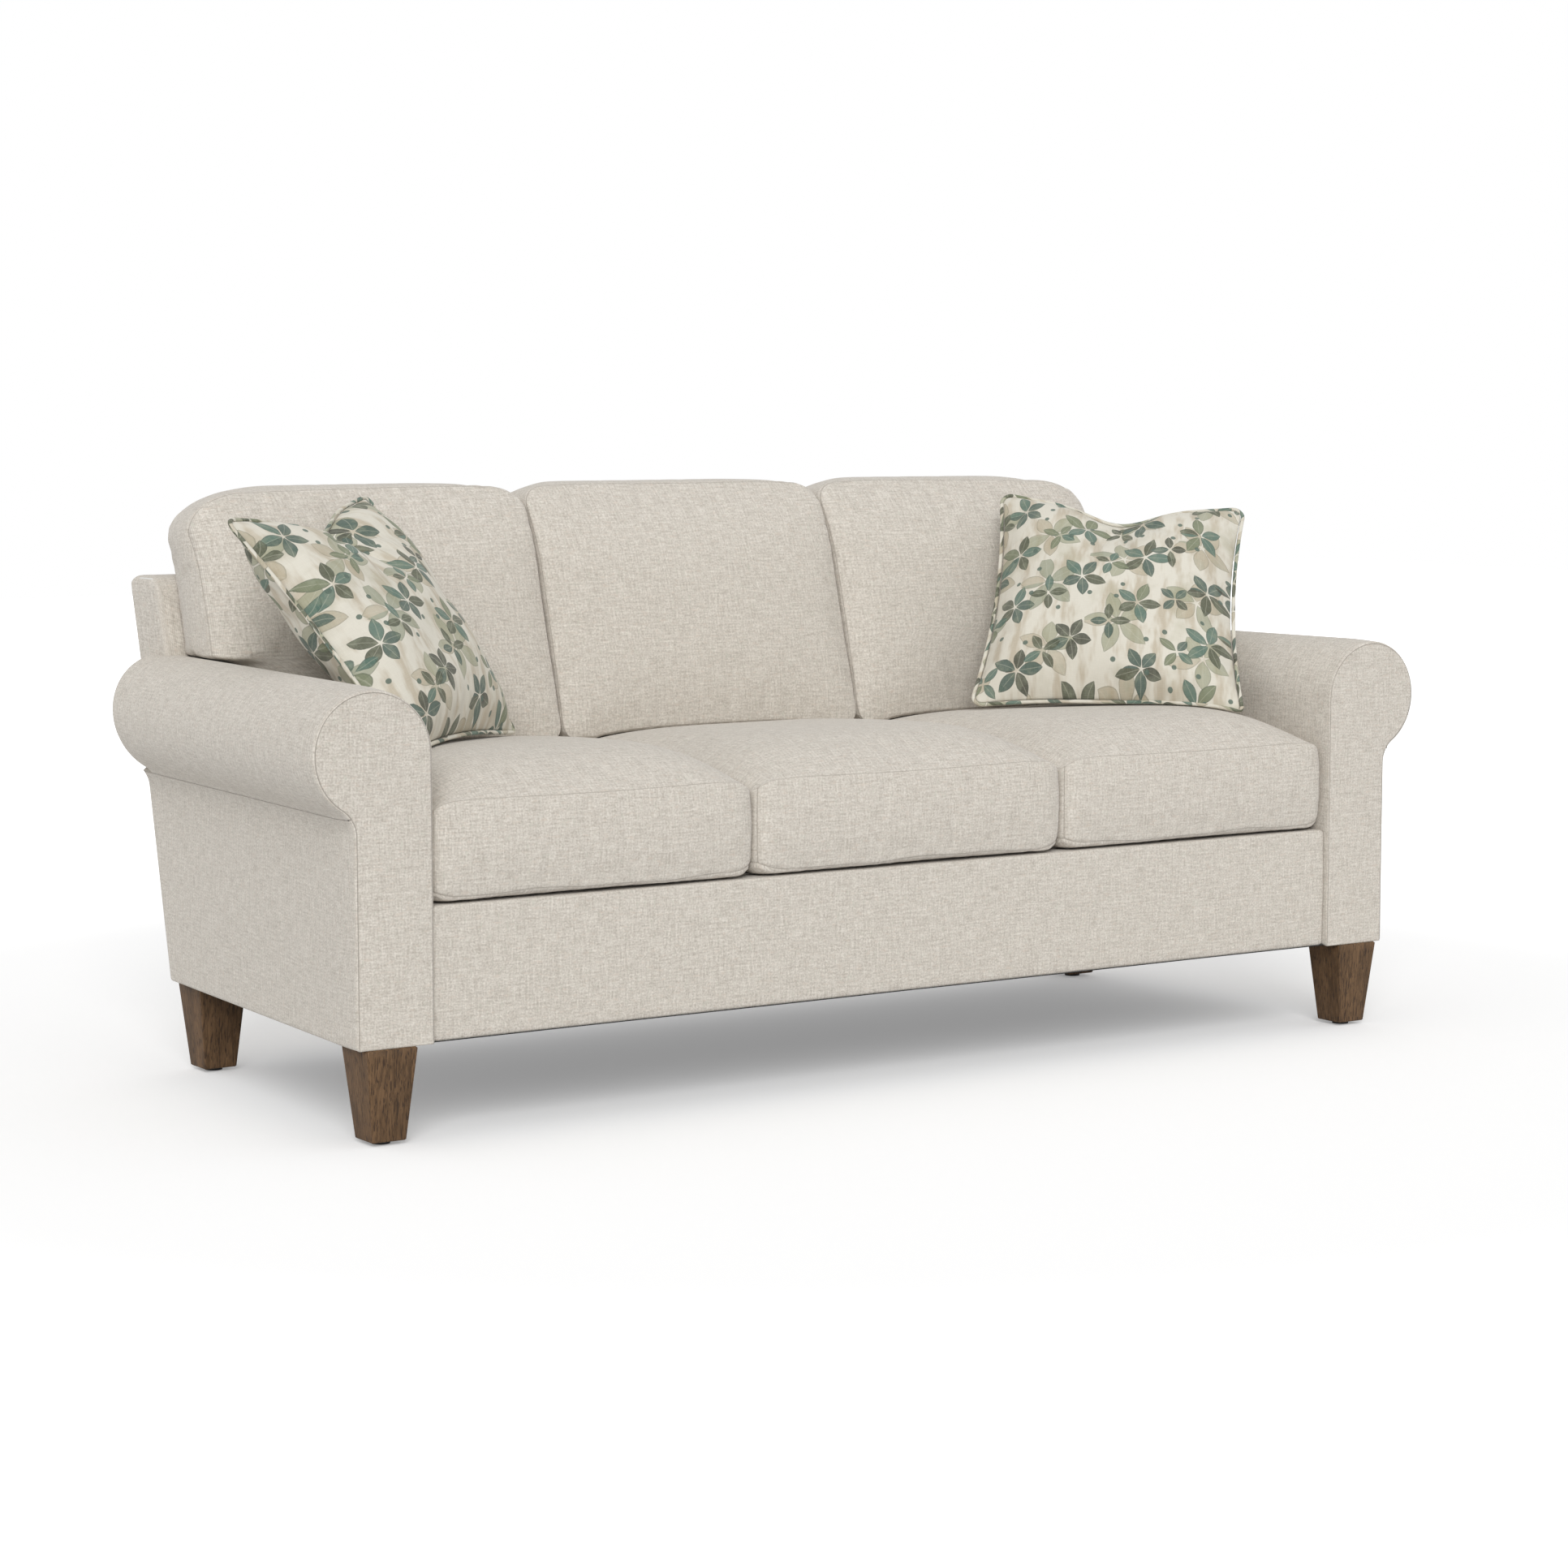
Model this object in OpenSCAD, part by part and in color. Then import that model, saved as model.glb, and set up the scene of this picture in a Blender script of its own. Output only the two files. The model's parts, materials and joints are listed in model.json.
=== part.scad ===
// Sock arm sofa: three loose seat cushions, three back cushions, two loose throw pillows.
// Millimetres. +X is the right end seen from the front, -Y is the front, +Z is up.
// The origin lies on the floor under the middle of the sofa.

/* [Overall] */
// Width over the two arm rolls
overall_w = 2130; // [1900:10:2400]
// Depth from the front legs to the top edge of the back
overall_d = 935; // [880:5:1000]
// Height of the top of the back cushions
overall_h = 943; // [860:1:1000]
// Angle at which each side closes in towards the back
splay = 4.2; // [0:0.1:6]

/* [Legs] */
// Height of the wooden leg without its glide
leg_h = 140; // [110:1:170]
// Side of the square leg at its top
leg_top_w = 83; // [70:1:90]
// Side of the square leg at its foot
leg_foot_w = 56; // [40:1:66]
// Chamfer that makes the shadow line at the leg's top
leg_chamfer = 3; // [1:0.5:5]
// Distance from the body's side to a front leg
front_leg_inset = 17; // [10:1:30]
// How much further in the rear legs stand
rear_leg_step = 54; // [30:1:60]
// How far the rear legs' rear faces stand behind the foot of the back
rear_leg_proud = 1.4; // [0:0.1:3]
// Radius of the glide under a leg
glide_r = 14; // [10:0.5:20]
// Height of the glide
glide_h = 6; // [3:0.5:10]
// Radius of the glide's nail
glide_nail_r = 1.5; // [1:0.1:2.5]
// Length of the glide's nail
glide_nail_l = 16; // [10:1:25]
// Radius of the hanger bolt that holds a leg
leg_bolt_r = 4; // [3:0.5:5]
// Length of the hanger bolt inside the leg
leg_bolt_down = 45; // [30:1:60]
// Length of the hanger bolt inside the block
leg_bolt_up = 34; // [20:1:40]

/* [Arms] */
// Height of the top of the arm roll, as a share of the overall height
arm_h_share = 0.7116; // [0.69:0.0001:0.72]
// Thickness of the arm below its roll
arm_w = 129; // [115:1:150]
// Radius of the arm roll
roll_r = 97; // [85:1:110]
// Distance from the outside back to the rear end of the roll
roll_stop = 40; // [30:1:60]
// Distance from the front legs' faces back to the arm front panels
panel_set = 2.4; // [1:0.1:6]

/* [Back] */
// Height of the upholstered back frame, as a share of the overall height
back_h_share = 0.8452; // [0.82:0.0001:0.87]
// Thickness of the upholstered back frame
back_t = 105; // [90:1:120]
// Distance from the arm roll's outermost line to the end of the back frame
back_end_set = 140; // [137:1:165]
// Angle at which the back leans
back_lean = 15.4; // [8:0.1:18]
// Radius of the back frame's top edges
back_edge_r = 35; // [20:1:40]

/* [Seat cushions] */
// Height of the underside of the seat cushions, as a share of the overall height
seat_base_share = 0.3712; // [0.36:0.0001:0.39]
// Thickness of a seat cushion at its seam
seat_t = 146; // [120:1:170]
// Rise of the seat cushion's crown over its seam
seat_crown = 67; // [50:1:75]
// Width of the middle seat cushion
seat_mid_w = 602; // [560:2:640]
// Distance from the front legs' faces back to the seat cushions
seat_front_set = 3; // [0:0.5:10]
// Corner radius of a seat cushion seen from above
seat_corner_r = 27; // [15:1:40]
// How far the seams of the seat cushion are drawn in between its corners
seat_draw = 5; // [0:0.5:10]
// How far the front corners lie behind the middle of the front
seat_front_bow = 12; // [0:1:25]
// Distance from the cushion's front to the highest part of its crown
seat_apex_set = 100; // [60:5:160]

/* [Back cushions] */
// Depth of a back cushion at its seam
back_cushion_t = 166; // [130:1:190]
// Rise of the back cushion's crown over its seam
back_crown = 24; // [10:1:40]
// Top corner radius beside another cushion
back_corner_r = 46; // [25:1:60]
// Top corner radius over an arm
back_ear_r = 96; // [60:1:120]
// How far an outer back cushion reaches past the inner side of its arm
back_ear = 88; // [40:1:100]
// How much further out the front edge of an ear lies than its rear edge
back_ear_flare = 22; // [0:1:35]
// How far the seams of a back cushion are drawn in between its corners
back_draw = 4; // [0:0.5:8]
// How much thinner a back cushion is at its top
back_top_fall = 34; // [0:1:60]

/* [Throw pillows] */
// Side of a square throw pillow
pillow_w = 450; // [400:5:500]
// Greatest thickness of a throw pillow
pillow_t = 150; // [100:2:180]
// How far a pillow's edges are drawn in between its corners
pillow_draw = 16; // [5:1:30]
// Depth of the dent in a pillow's top edge
pillow_dent = 46; // [0:1:60]
// Radius of the piping round a pillow
piping_r = 3.5; // [2.5:0.5:5]
// Distance of the left pillow's middle from the front of the arm's inner side
left_pillow_side_set = 169; // [150:1:190]
// Distance of the left pillow's middle from the front
left_pillow_front_set = 430; // [400:1:440]
// Turn of the left pillow about the upright
left_pillow_yaw = 41.8; // [35:0.1:50]
// Lean of the left pillow
left_pillow_lean = 35.2; // [30:0.1:40]
// Distance of the right pillow's middle from the front of the arm's inner side
right_pillow_side_set = 165; // [150:1:190]
// Distance of the right pillow's middle from the front
right_pillow_front_set = 386; // [360:1:400]
// Turn of the right pillow about the upright
right_pillow_yaw = -44.1; // [-50:0.1:-35]
// Lean of the right pillow
right_pillow_lean = 37.9; // [33:0.1:42]

/* [Frame and covers] */
// Thickness of the frame boards
board_t = 25; // [20:1:30]
// Thickness of the plywood arm posts
ply_t = 18; // [12:1:22]
// Distance from the underside of the seat cushions down to the seat rails
rail_drop = 15; // [12:1:40]
// Height of an arm's bottom rail
arm_rail_h = 112; // [80:1:130]
// Width of the frame boards in the back
back_board_w = 70; // [50:1:75]
// Height of the back's bottom rail
back_rail_h = 68; // [50:1:80]
// Thickness of a fabric cover
cover_t = 3; // [2:0.5:4]
// Thickness of the padding in the arms
pad_t = 12; // [8:1:20]
// Thickness of the padded arm front panels
panel_t = 6; // [4:0.5:8]
// Thickness of the outside panels
outside_t = 4; // [3:0.5:6]
// Thickness of the padded inside back
inside_back_t = 20; // [15:1:25]
// Distance from the front legs' faces back to the front rail's cover
rail_cover_set = 12; // [8:0.5:20]
// Depth of the rail cover's top fold
rail_fold = 48; // [35:1:60]
// Distance from the underside of the seat cushions down to the front rail's cover
rail_cover_drop = 3; // [1:0.5:6]
// Thickness of the deck under the seat cushions
deck_t = 6; // [4:0.5:10]
// Thickness of the dust cover
dust_t = 1.2; // [0.8:0.1:2]
// Width of a webbing strap
strap_w = 70; // [50:5:80]
// Thickness of a webbing strap
strap_t = 2; // [1:0.5:3]
// Number of straps under one seat cushion, front to back
strap_n = 5; // [3:1:6]
// Number of straps across the seat
cross_n = 5; // [3:1:7]
// Number of straps behind one back cushion
back_strap_n = 3; // [2:1:4]
// Radius of the bolts that join the arms to the seat
arm_bolt_r = 4; // [3:0.5:5]

/* [Hidden] */
// Clearance between neighbouring pieces, loose cushions included
ease = 0.3;
// Clearance round a bolt in its hole
bolt_ease = 0.5;
// Overrun of every cut
over = 30;
// Clearance of the back cushions over the seat cushions that slide under them
slide_ease = 0.6;
// Clearance of the ear of a back cushion over the arm roll
ear_ease = 0.8;
// How far each pillow stands below the height worked out for a smooth crown, on the facets under it
left_pillow_sink = 0.4;
right_pillow_sink = 0.3;

$fn = 64;
// Side of the blocks that cut whole pieces
reach = 2 * overall_w;
arm_h = overall_h * arm_h_share;
back_h = overall_h * back_h_share;
back_w = overall_w - 2 * back_end_set;
seat_base_h = overall_h * seat_base_share;
rail_top_h = seat_base_h - rail_drop;
rail_cover_h = seat_base_h - rail_cover_drop;
front_y = -overall_d / 2;
rear_y = overall_d / 2;
base_z = glide_h + leg_h;
frame_z = base_z + dust_t + ease;
seat_half_w = overall_w / 2 - 2 * roll_r;
roll_z = arm_h - roll_r;
// Height at which the roll meets the arm's outer side
roll_seam_z = roll_z - sqrt(pow(roll_r, 2) - pow(arm_w - roll_r, 2));
body_half_w = seat_half_w + arm_w;
panel_y = front_y + panel_set;
post_y = panel_y + panel_t + ease;
rail_y = front_y + rail_cover_set + outside_t + ease;
deck_z = seat_base_h - ease;

// Centre of the back's rear top edge, and the two leaning faces of the back
edge_y = rear_y - back_edge_r;
edge_z = back_h - back_edge_r;
lean_cos = cos(back_lean);
function out_y(z) = edge_y + back_edge_r / lean_cos + (z - edge_z) * tan(back_lean);
function layer_y(z, depth) = out_y(z) - depth / lean_cos;
function in_y(z) = layer_y(z, back_t);
// Where the straight leaning faces end and the rounded top edges start
out_top_z = edge_z - back_edge_r * sin(back_lean);
in_top_z = edge_z + back_edge_r * sin(back_lean);
inside_d = back_t - inside_back_t;
post_d = outside_t + ease;
back_post_x = back_w / 2 - cover_t - pad_t - board_t;
back_rail_z = out_top_z - board_t;
rear_rail_y = out_y(frame_z) - (outside_t + ease) / lean_cos - board_t;

// Place across the sofa of a line that lies u outside the arm's inner side
function side_x(u, y) = seat_half_w + u / cos(splay) - (y - front_y) * tan(splay);

front_leg_x = body_half_w - front_leg_inset - leg_top_w / 2;
front_leg_y = front_y + leg_top_w / 2;
rear_leg_x = front_leg_x - rear_leg_step;
rear_leg_y = out_y(base_z) + rear_leg_proud - leg_top_w / 2;
leg_places = [[front_leg_x, front_leg_y], [rear_leg_x, rear_leg_y]];
rear_block_y = rear_rail_y + board_t - back_board_w;
block_h = 44;
block_top_z = frame_z + block_h;
corner_block_w = 65;
back_edge_steps = 8;
tee_r = leg_bolt_r + 1.5 * bolt_ease;
tee_flange_r = 10;
tee_flange_t = 1.6;
arm_rail_u = cover_t + pad_t + 2 * ease;
arm_bolt_z = frame_z + arm_rail_h / 2;
arm_bolt_head_r = 2.2 * arm_bolt_r;
arm_bolt_head_t = 0.9 * arm_bolt_r;
arm_bolt_y_shares = [0.2, 0.7];

linen = [0.80, 0.77, 0.72];
linen_shade = [0.74, 0.71, 0.66];
walnut = [0.36, 0.23, 0.15];
timber = [0.80, 0.66, 0.46];
plywood = [0.74, 0.58, 0.38];
wadding = [0.93, 0.93, 0.90];
black_cloth = [0.10, 0.10, 0.11];
steel = [0.62, 0.63, 0.65];
strap_brown = [0.55, 0.44, 0.30];
print_cream = [0.86, 0.85, 0.79];
print_green = [0.47, 0.56, 0.49];

// Building helpers

// A flat outline in X and Z, run along Y between two places
module run(from, to) {
    translate([0, to, 0]) rotate([90, 0, 0]) linear_extrude(height = to - from) children();
}

// A flat outline in Y and Z, run across the sofa to the same distance on both sides
module across(half) {
    rotate([90, 0, 90]) translate([0, 0, -half]) linear_extrude(height = 2 * half) children();
}

// The same on both ends of the sofa
module both_ends() {
    children();
    mirror([1, 0, 0]) children();
}

// Everything between two places along Y
module slab(from, to) {
    translate([-reach / 2, from, -reach / 2]) cube([reach, to - from, reach]);
}

// Everything behind the outside back, moved forward by a distance square to it
module behind(depth) {
    translate([0, layer_y(0, depth), 0]) rotate([-back_lean, 0, 0])
        translate([-reach / 2, 0, -reach / 2]) cube(reach);
}

// The space that the back frame fills between the arms
module back_zone() {
    intersection() {
        behind(back_t + ease);
        translate([-back_w / 2 - ease, -reach / 2, -reach / 2]) cube([back_w + 2 * ease, reach, reach]);
    }
}

// An outline beside the right arm's inner side, run along the arm between two places along Y
module side_run(from, to) {
    intersection() {
        translate([seat_half_w, front_y, 0]) rotate([0, 0, splay])
            run(-over, overall_d + over) children();
        slab(from, to);
    }
}

module upright_strip(u, width, low, high) {
    translate([u, low]) square([width, high - low]);
}

// Section of the arm, drawn in by inset, with its web down to low
module arm_section(inset, low) {
    translate([roll_r, roll_z]) circle(r = roll_r - inset);
    upright_strip(inset, arm_w - 2 * inset, low, roll_z);
}

// The part of the arm's section outside the web, under the roll's seam
module arm_outer_side(inset) {
    upright_strip(arm_w - inset, 2 * roll_r, -over, roll_seam_z);
}

// Corners of a layer of the back between two depths and two heights
function layer(d1, d2, z1, z2) = [[layer_y(z1, d1), z1], [layer_y(z2, d1), z2],
    [layer_y(z2, d2), z2], [layer_y(z1, d2), z1]];

function arc(middle, r, from, to, steps) = [for (i = [0:steps]) let(a = from + (to - from) * i / steps)
    middle + r * [cos(a), sin(a)]];

// Section of the back with its rounded top edges, drawn in by inset
module back_section(inset, low) {
    r = back_edge_r - inset;
    front_edge_y = in_y(edge_z) + back_edge_r / lean_cos;
    polygon(concat([[layer_y(low, inset), low]],
        arc([edge_y, edge_z], r, -back_lean, 90, back_edge_steps),
        arc([front_edge_y, edge_z], r, 90, 180 - back_lean, back_edge_steps),
        [[layer_y(low, back_t - inset), low]]));
}

// Cushion forms

function mix(a, b, share) = a + (b - a) * share;
function unit(v) = v / norm(v);
function half_turn(a) = a > 180 ? a - 360 : a < -180 ? a + 360 : a;

// Points on the arc that rounds corner p between its neighbours
function corner_arc(before, p, after, r, steps) = let(
    u = unit(before - p), v = unit(after - p),
    half = acos(u * v) / 2,
    middle = p + unit(u + v) * r / sin(half),
    start = p + u * r / tan(half) - middle,
    stop = p + v * r / tan(half) - middle,
    from = atan2(start[1], start[0]),
    turn = half_turn(atan2(stop[1], stop[0]) - from))
    [for (i = [0:steps]) middle + r * [cos(from + turn * i / steps), sin(from + turn * i / steps)]];

// A rounded outline, counter-clockwise, whose sides are drawn in between its corners
function outline(corners, radii, steps, sides, draw) = let(
    n = len(corners),
    arcs = [for (i = [0:n - 1]) corner_arc(corners[(i + n - 1) % n], corners[i],
        corners[(i + 1) % n], radii[i], steps)])
    [for (i = [0:n - 1]) let(a = arcs[i][steps], b = arcs[(i + 1) % n][0],
        inward = unit([a[1] - b[1], b[0] - a[0]]))
        each concat(arcs[i], [for (e = [1:sides]) let(t = e / (sides + 1))
            mix(a, b, t) + inward * draw * 4 * t * (1 - t)])];

function drawn_to(points, middle, share) = [for (p = points) mix(middle, p, share)];

// Triangles over rings of n points, closed by one point below and one above
function ring_faces(rings, n) = concat(
    [for (k = [0:rings - 2]) for (j = [0:n - 1]) let(a = k * n + j, b = k * n + (j + 1) % n)
        each [[a, a + n, b], [b, a + n, b + n]]],
    [for (j = [0:n - 1]) [rings * n, j, (j + 1) % n]],
    [for (j = [0:n - 1]) let(top = (rings - 1) * n) [rings * n + 1, top + (j + 1) % n, top + j]]);

module rings_solid(rings, low, high) {
    n = len(rings[0]);
    polyhedron(points = concat([for (ring = rings) each ring], [low, high]),
        faces = ring_faces(len(rings), n), convexity = 4);
}

// Shares of a cushion's half width where its rings lie, on each face and up its side
under_shares = [0.5, 0.9];
side_shares = [0, 0.12, 0.35, 0.65, 0.88, 1];
crown_shares = [0.985, 0.955, 0.91, 0.85, 0.76, 0.62, 0.42, 0.2];
seam_share = 0.988;
crown_power = 2.6;
seat_power = 4.8;
seat_fall_power = 0.38;
bow_power = 6;

// Seat cushions
seat_rear_y = in_y(seat_base_h) - 2 * ease;
seat_seam_z = seat_base_h + seat_t;
seat_front_y = front_y + seat_front_set;
seat_mid_y = (seat_front_y + seat_rear_y) / 2;
seat_half_d = (seat_rear_y - seat_front_y) / 2;
seat_joint_x = seat_mid_w / 2;

function seat_fall(y) = pow(max(0, min(1,
    (seat_rear_y - y) / (seat_rear_y - seat_front_y - seat_apex_set))), seat_fall_power);

// A dome's height, from the shares of the way to its edge in both directions
function dome(s, t, power = crown_power) =
    (1 - pow(min(1, abs(s)), power)) * (1 - pow(min(1, abs(t)), power));

function seat_top_z(s, y) = seat_seam_z
    + seat_crown * dome(s, (y - seat_mid_y) / seat_half_d, seat_power) * seat_fall(y);

// Share of the way across the outer seat cushion from its middle to its side
function outer_seat_share(x, y) = let(low = seat_joint_x, high = side_x(0, y))
    (x - (low + high) / 2) / ((high - low) / 2);

function seat_bow(p, low, high) = let(
    t = max(0, (seat_mid_y - p[1]) / seat_half_d),
    s = (p[0] - (low + high) / 2) / ((high - low) / 2))
    [p[0], p[1] + seat_front_bow * pow(t, bow_power) * pow(s, 2)];

function seat_outline(left_front, right_front, right_rear, left_rear, draw) =
    [for (p = outline([[left_front, seat_front_y], [right_front, seat_front_y],
        [right_rear, seat_rear_y], [left_rear, seat_rear_y]],
        [for (i = [0:3]) seat_corner_r], 4, 5, draw)) seat_bow(p, left_front, right_front)];

module seat_cushion(left_front, right_front, right_rear, left_rear) {
    middle = [(left_front + right_front + left_rear + right_rear) / 4, seat_mid_y];
    plump = seat_outline(left_front, right_front, right_rear, left_rear, 0);
    drawn = drawn_to(seat_outline(left_front, right_front, right_rear, left_rear, seat_draw),
        middle, seam_share);
    rings = concat(
        [for (s = under_shares) [for (p = drawn_to(drawn, middle, s)) [p[0], p[1], seat_base_h]]],
        [for (q = side_shares) [for (i = [0:len(plump) - 1]) let(
            p = mix(drawn[i], plump[i], 4 * q * (1 - q))) [p[0], p[1], mix(seat_base_h, seat_seam_z, q)]]],
        [for (s = crown_shares) [for (i = [0:len(plump) - 1]) let(
            p = mix(middle, drawn[i], s), t = (p[1] - seat_front_y) / (2 * seat_half_d),
            left = mix(left_front, left_rear, t), right = mix(right_front, right_rear, t))
            [p[0], p[1], seat_top_z((2 * p[0] - left - right) / (right - left), p[1])]]]);
    rings_solid(rings, [middle[0], middle[1], seat_base_h],
        [middle[0], middle[1], seat_top_z(0, middle[1])]);
}

module outer_seat_cushion() {
    near = seat_joint_x + ease / 2;
    color(linen) seat_cushion(near, side_x(0, seat_front_y) - 3 * ease,
        side_x(0, seat_rear_y) - 3 * ease, near);
}

module centre_seat_cushion() {
    half = seat_joint_x - ease / 2;
    color(linen) seat_cushion(-half, half, half, -half);
}

// Back cushions
back_front_y = in_y(seat_seam_z) - back_cushion_t - back_crown;
back_base_z = seat_top_z(0, back_front_y) + slide_ease;
back_ear_z = arm_h + ear_ease;
// Inner side of the arm where the cushion lies furthest back beside it
back_side_x = side_x(0, in_y(arm_h)) - 3 * ease;
back_fall_z = back_h;
back_faces_shares = [0.97, 0.88, 0.72, 0.5, 0.25];

function back_depth(z) = back_cushion_t
    - back_top_fall * pow(max(0, (z - back_fall_z) / (overall_h - back_fall_z)), 2);
// Past ear[0] a cushion widens to its front by ear[1] times the distance
function back_place(p, share, bulge, ear = [0, 0]) =
    [p[0] + share * ear[1] * max(0, p[0] - ear[0]),
        in_y(p[1]) - ease - share * back_depth(p[1]) - bulge, p[1]];

module back_cushion(corners, radii, sides, middle, ear = [0, 0]) {
    low = [min([for (p = corners) p[0]]), back_base_z];
    size = [max([for (p = corners) p[0]]) - low[0], overall_h - low[1]];
    function crown(p) = back_crown * dome(2 * (p[0] - low[0]) / size[0] - 1,
        2 * (p[1] - low[1]) / size[1] - 1);
    plump = outline(corners, radii, 4, sides, 0);
    drawn = drawn_to(outline(corners, radii, 4, sides, back_draw), middle, seam_share);
    rings = concat(
        [for (s = under_shares) [for (p = drawn_to(drawn, middle, s)) back_place(p, 0, 0)]],
        [for (q = side_shares) [for (i = [0:len(plump) - 1])
            back_place(mix(drawn[i], plump[i], 4 * q * (1 - q)), q, 0, ear)]],
        [for (s = back_faces_shares) [for (p = drawn_to(drawn, middle, s))
            back_place(p, 1, crown(p), ear)]]);
    rings_solid(rings, back_place(middle, 0, 0), back_place(middle, 1, crown(middle)));
}

back_foot_r = back_corner_r / 2;

module centre_back_cushion() {
    x = seat_joint_x - ease / 2;
    color(linen) back_cushion([[-x, back_base_z], [x, back_base_z], [x, overall_h], [-x, overall_h]],
        [back_foot_r, back_foot_r, back_corner_r, back_corner_r], 5,
        [0, (back_base_z + overall_h) / 2]);
}

module outer_back_cushion() {
    x = seat_joint_x + ease / 2;
    ear_x = back_side_x + back_ear;
    ear_foot_r = (ear_x - back_side_x) / 3;
    notch_r = ear_foot_r / 2;
    color(linen) back_cushion([[x, back_base_z], [back_side_x, back_base_z], [back_side_x, back_ear_z],
        [ear_x, back_ear_z], [ear_x, overall_h], [x, overall_h]],
        [back_foot_r, back_foot_r, notch_r, ear_foot_r, back_ear_r, back_corner_r], 2,
        [(x + back_side_x) / 2, (back_ear_z + overall_h) / 2], [back_side_x, back_ear_flare / back_ear]);
}

// Throw pillows

// Directions of a pillow's width, of its front and of its height
function pillow_u(yaw) = [cos(yaw), sin(yaw), 0];
function pillow_n(yaw, lean) = [sin(yaw) * cos(lean), -cos(yaw) * cos(lean), sin(lean)];
function pillow_v(yaw, lean) = [-sin(yaw) * sin(lean), cos(yaw) * sin(lean), cos(lean)];

pillow_corner_r = 14;
pillow_steps = 2;
pillow_sides = 5;
pillow_shares = [0.93, 0.8, 0.58, 0.3];
dent_share = 0.34;
bulge_power = 0.6;
left_pillow_x = left_pillow_side_set - seat_half_w;
right_pillow_x = seat_half_w - right_pillow_side_set;

// Edge of a pillow in its own plane, grown on all sides, with the dent in its top
function pillow_outline(grow) = let(
    h = pillow_w / 2 + grow,
    square_points = outline([[-h, -h], [h, -h], [h, h], [-h, h]],
        [for (i = [0:3]) pillow_corner_r + grow], pillow_steps, pillow_sides, pillow_draw))
    [for (p = square_points) let(
        dent = pillow_dent * exp(-pow(p[0] / (h * dent_share), 2)) * pow(max(0, p[1] / h), 3))
        [p[0], p[1] - dent]];

function pillow_bulge(p) = pillow_t / 2 * pow(dome(2 * p[0] / pillow_w, 2 * p[1] / pillow_w), bulge_power);

// Points of an outline, with a point in the middle of each stretch
function with_middles(points) = [for (i = [0:len(points) - 1])
    each [points[i], (points[i] + points[(i + 1) % len(points)]) / 2]];

// Height of the pillow's middle at which a point of its back lies on the outer seat cushion
function pillow_rest(p, bulge, x, y, yaw, lean) = let(
    q = pillow_point(p, -bulge, [x, y, 0], yaw, lean))
    seat_top_z(outer_seat_share(abs(q[0]), q[1]), q[1]) - q[2];

// Height of the pillow's middle at which its piping and its back just clear the cushion
function pillow_z(x, y, yaw, lean) = max(concat(
    [for (p = with_middles(pillow_outline(piping_grow)))
        pillow_rest(p, 0, x, y, yaw, lean) + piping_r],
    [for (edge_point = pillow_outline(0)) for (share = pillow_shares) let(p = edge_point * share)
        pillow_rest(p, pillow_bulge(p), x, y, yaw, lean) + ease]));

function pillow_point(p, bulge, middle, yaw, lean) =
    middle + p[0] * pillow_u(yaw) + p[1] * pillow_v(yaw, lean) + bulge * pillow_n(yaw, lean);

function pillow_middle(x, set, yaw, lean) = [x, front_y + set,
    pillow_z(x, front_y + set, yaw, lean) - (x > 0 ? right_pillow_sink : left_pillow_sink)];

module throw_pillow(x, set, yaw, lean) {
    middle = pillow_middle(x, set, yaw, lean);
    edge = pillow_outline(0);
    n = len(pillow_shares);
    rings = concat(
        [for (i = [n - 1:-1:0]) [for (e = edge) let(p = e * pillow_shares[i])
            pillow_point(p, -pillow_bulge(p), middle, yaw, lean)]],
        [[for (p = edge) pillow_point(p, 0, middle, yaw, lean)]],
        [for (i = [0:n - 1]) [for (e = edge) let(p = e * pillow_shares[i])
            pillow_point(p, pillow_bulge(p), middle, yaw, lean)]]);
    rings_solid(rings, pillow_point([0, 0], -pillow_t / 2, middle, yaw, lean),
        pillow_point([0, 0], pillow_t / 2, middle, yaw, lean));
}

piping_sides = 6;
piping_grow = piping_r + 3 * ease;

// A closed tube of six sides round the pillow's edge
module pillow_piping(x, set, yaw, lean) {
    middle = pillow_middle(x, set, yaw, lean);
    edge = pillow_outline(piping_grow);
    n = len(edge);
    points = [for (i = [0:n - 1]) let(
        along = unit(edge[(i + 1) % n] - edge[(i + n - 1) % n]), out = [along[1], -along[0]])
        for (k = [0:piping_sides - 1]) let(a = 360 * k / piping_sides)
            pillow_point(edge[i] + out * piping_r * cos(a), piping_r * sin(a), middle, yaw, lean)];
    faces = [for (i = [0:n - 1]) for (k = [0:piping_sides - 1]) let(
        a = i * piping_sides + k, b = i * piping_sides + (k + 1) % piping_sides,
        c = ((i + 1) % n) * piping_sides + k, d = ((i + 1) % n) * piping_sides + (k + 1) % piping_sides)
        each [[a, b, c], [b, d, c]]];
    polyhedron(points = points, faces = faces, convexity = 6);
}

// Seat frame

module front_rail() {
    color(timber) translate([-side_x(0, rail_y + board_t) + ease, rail_y, frame_z])
        cube([2 * (side_x(0, rail_y + board_t) - ease), board_t, rail_top_h - frame_z]);
}

module rear_rail() {
    half = side_x(0, rear_rail_y + board_t) - ease;
    color(timber) translate([-half, rear_rail_y, frame_z]) cube([2 * half, board_t, rail_top_h - frame_z]);
}

// A hole for an arm's bolts, across the pieces beside the arm's inner side
module arm_bolt_holes(r, from, to) {
    for (share = arm_bolt_y_shares)
        translate([seat_half_w, front_y, 0]) rotate([0, 0, splay])
            translate([from, overall_d * share, arm_bolt_z]) rotate([0, 90, 0])
                cylinder(r = r, h = to - from);
}

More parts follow.
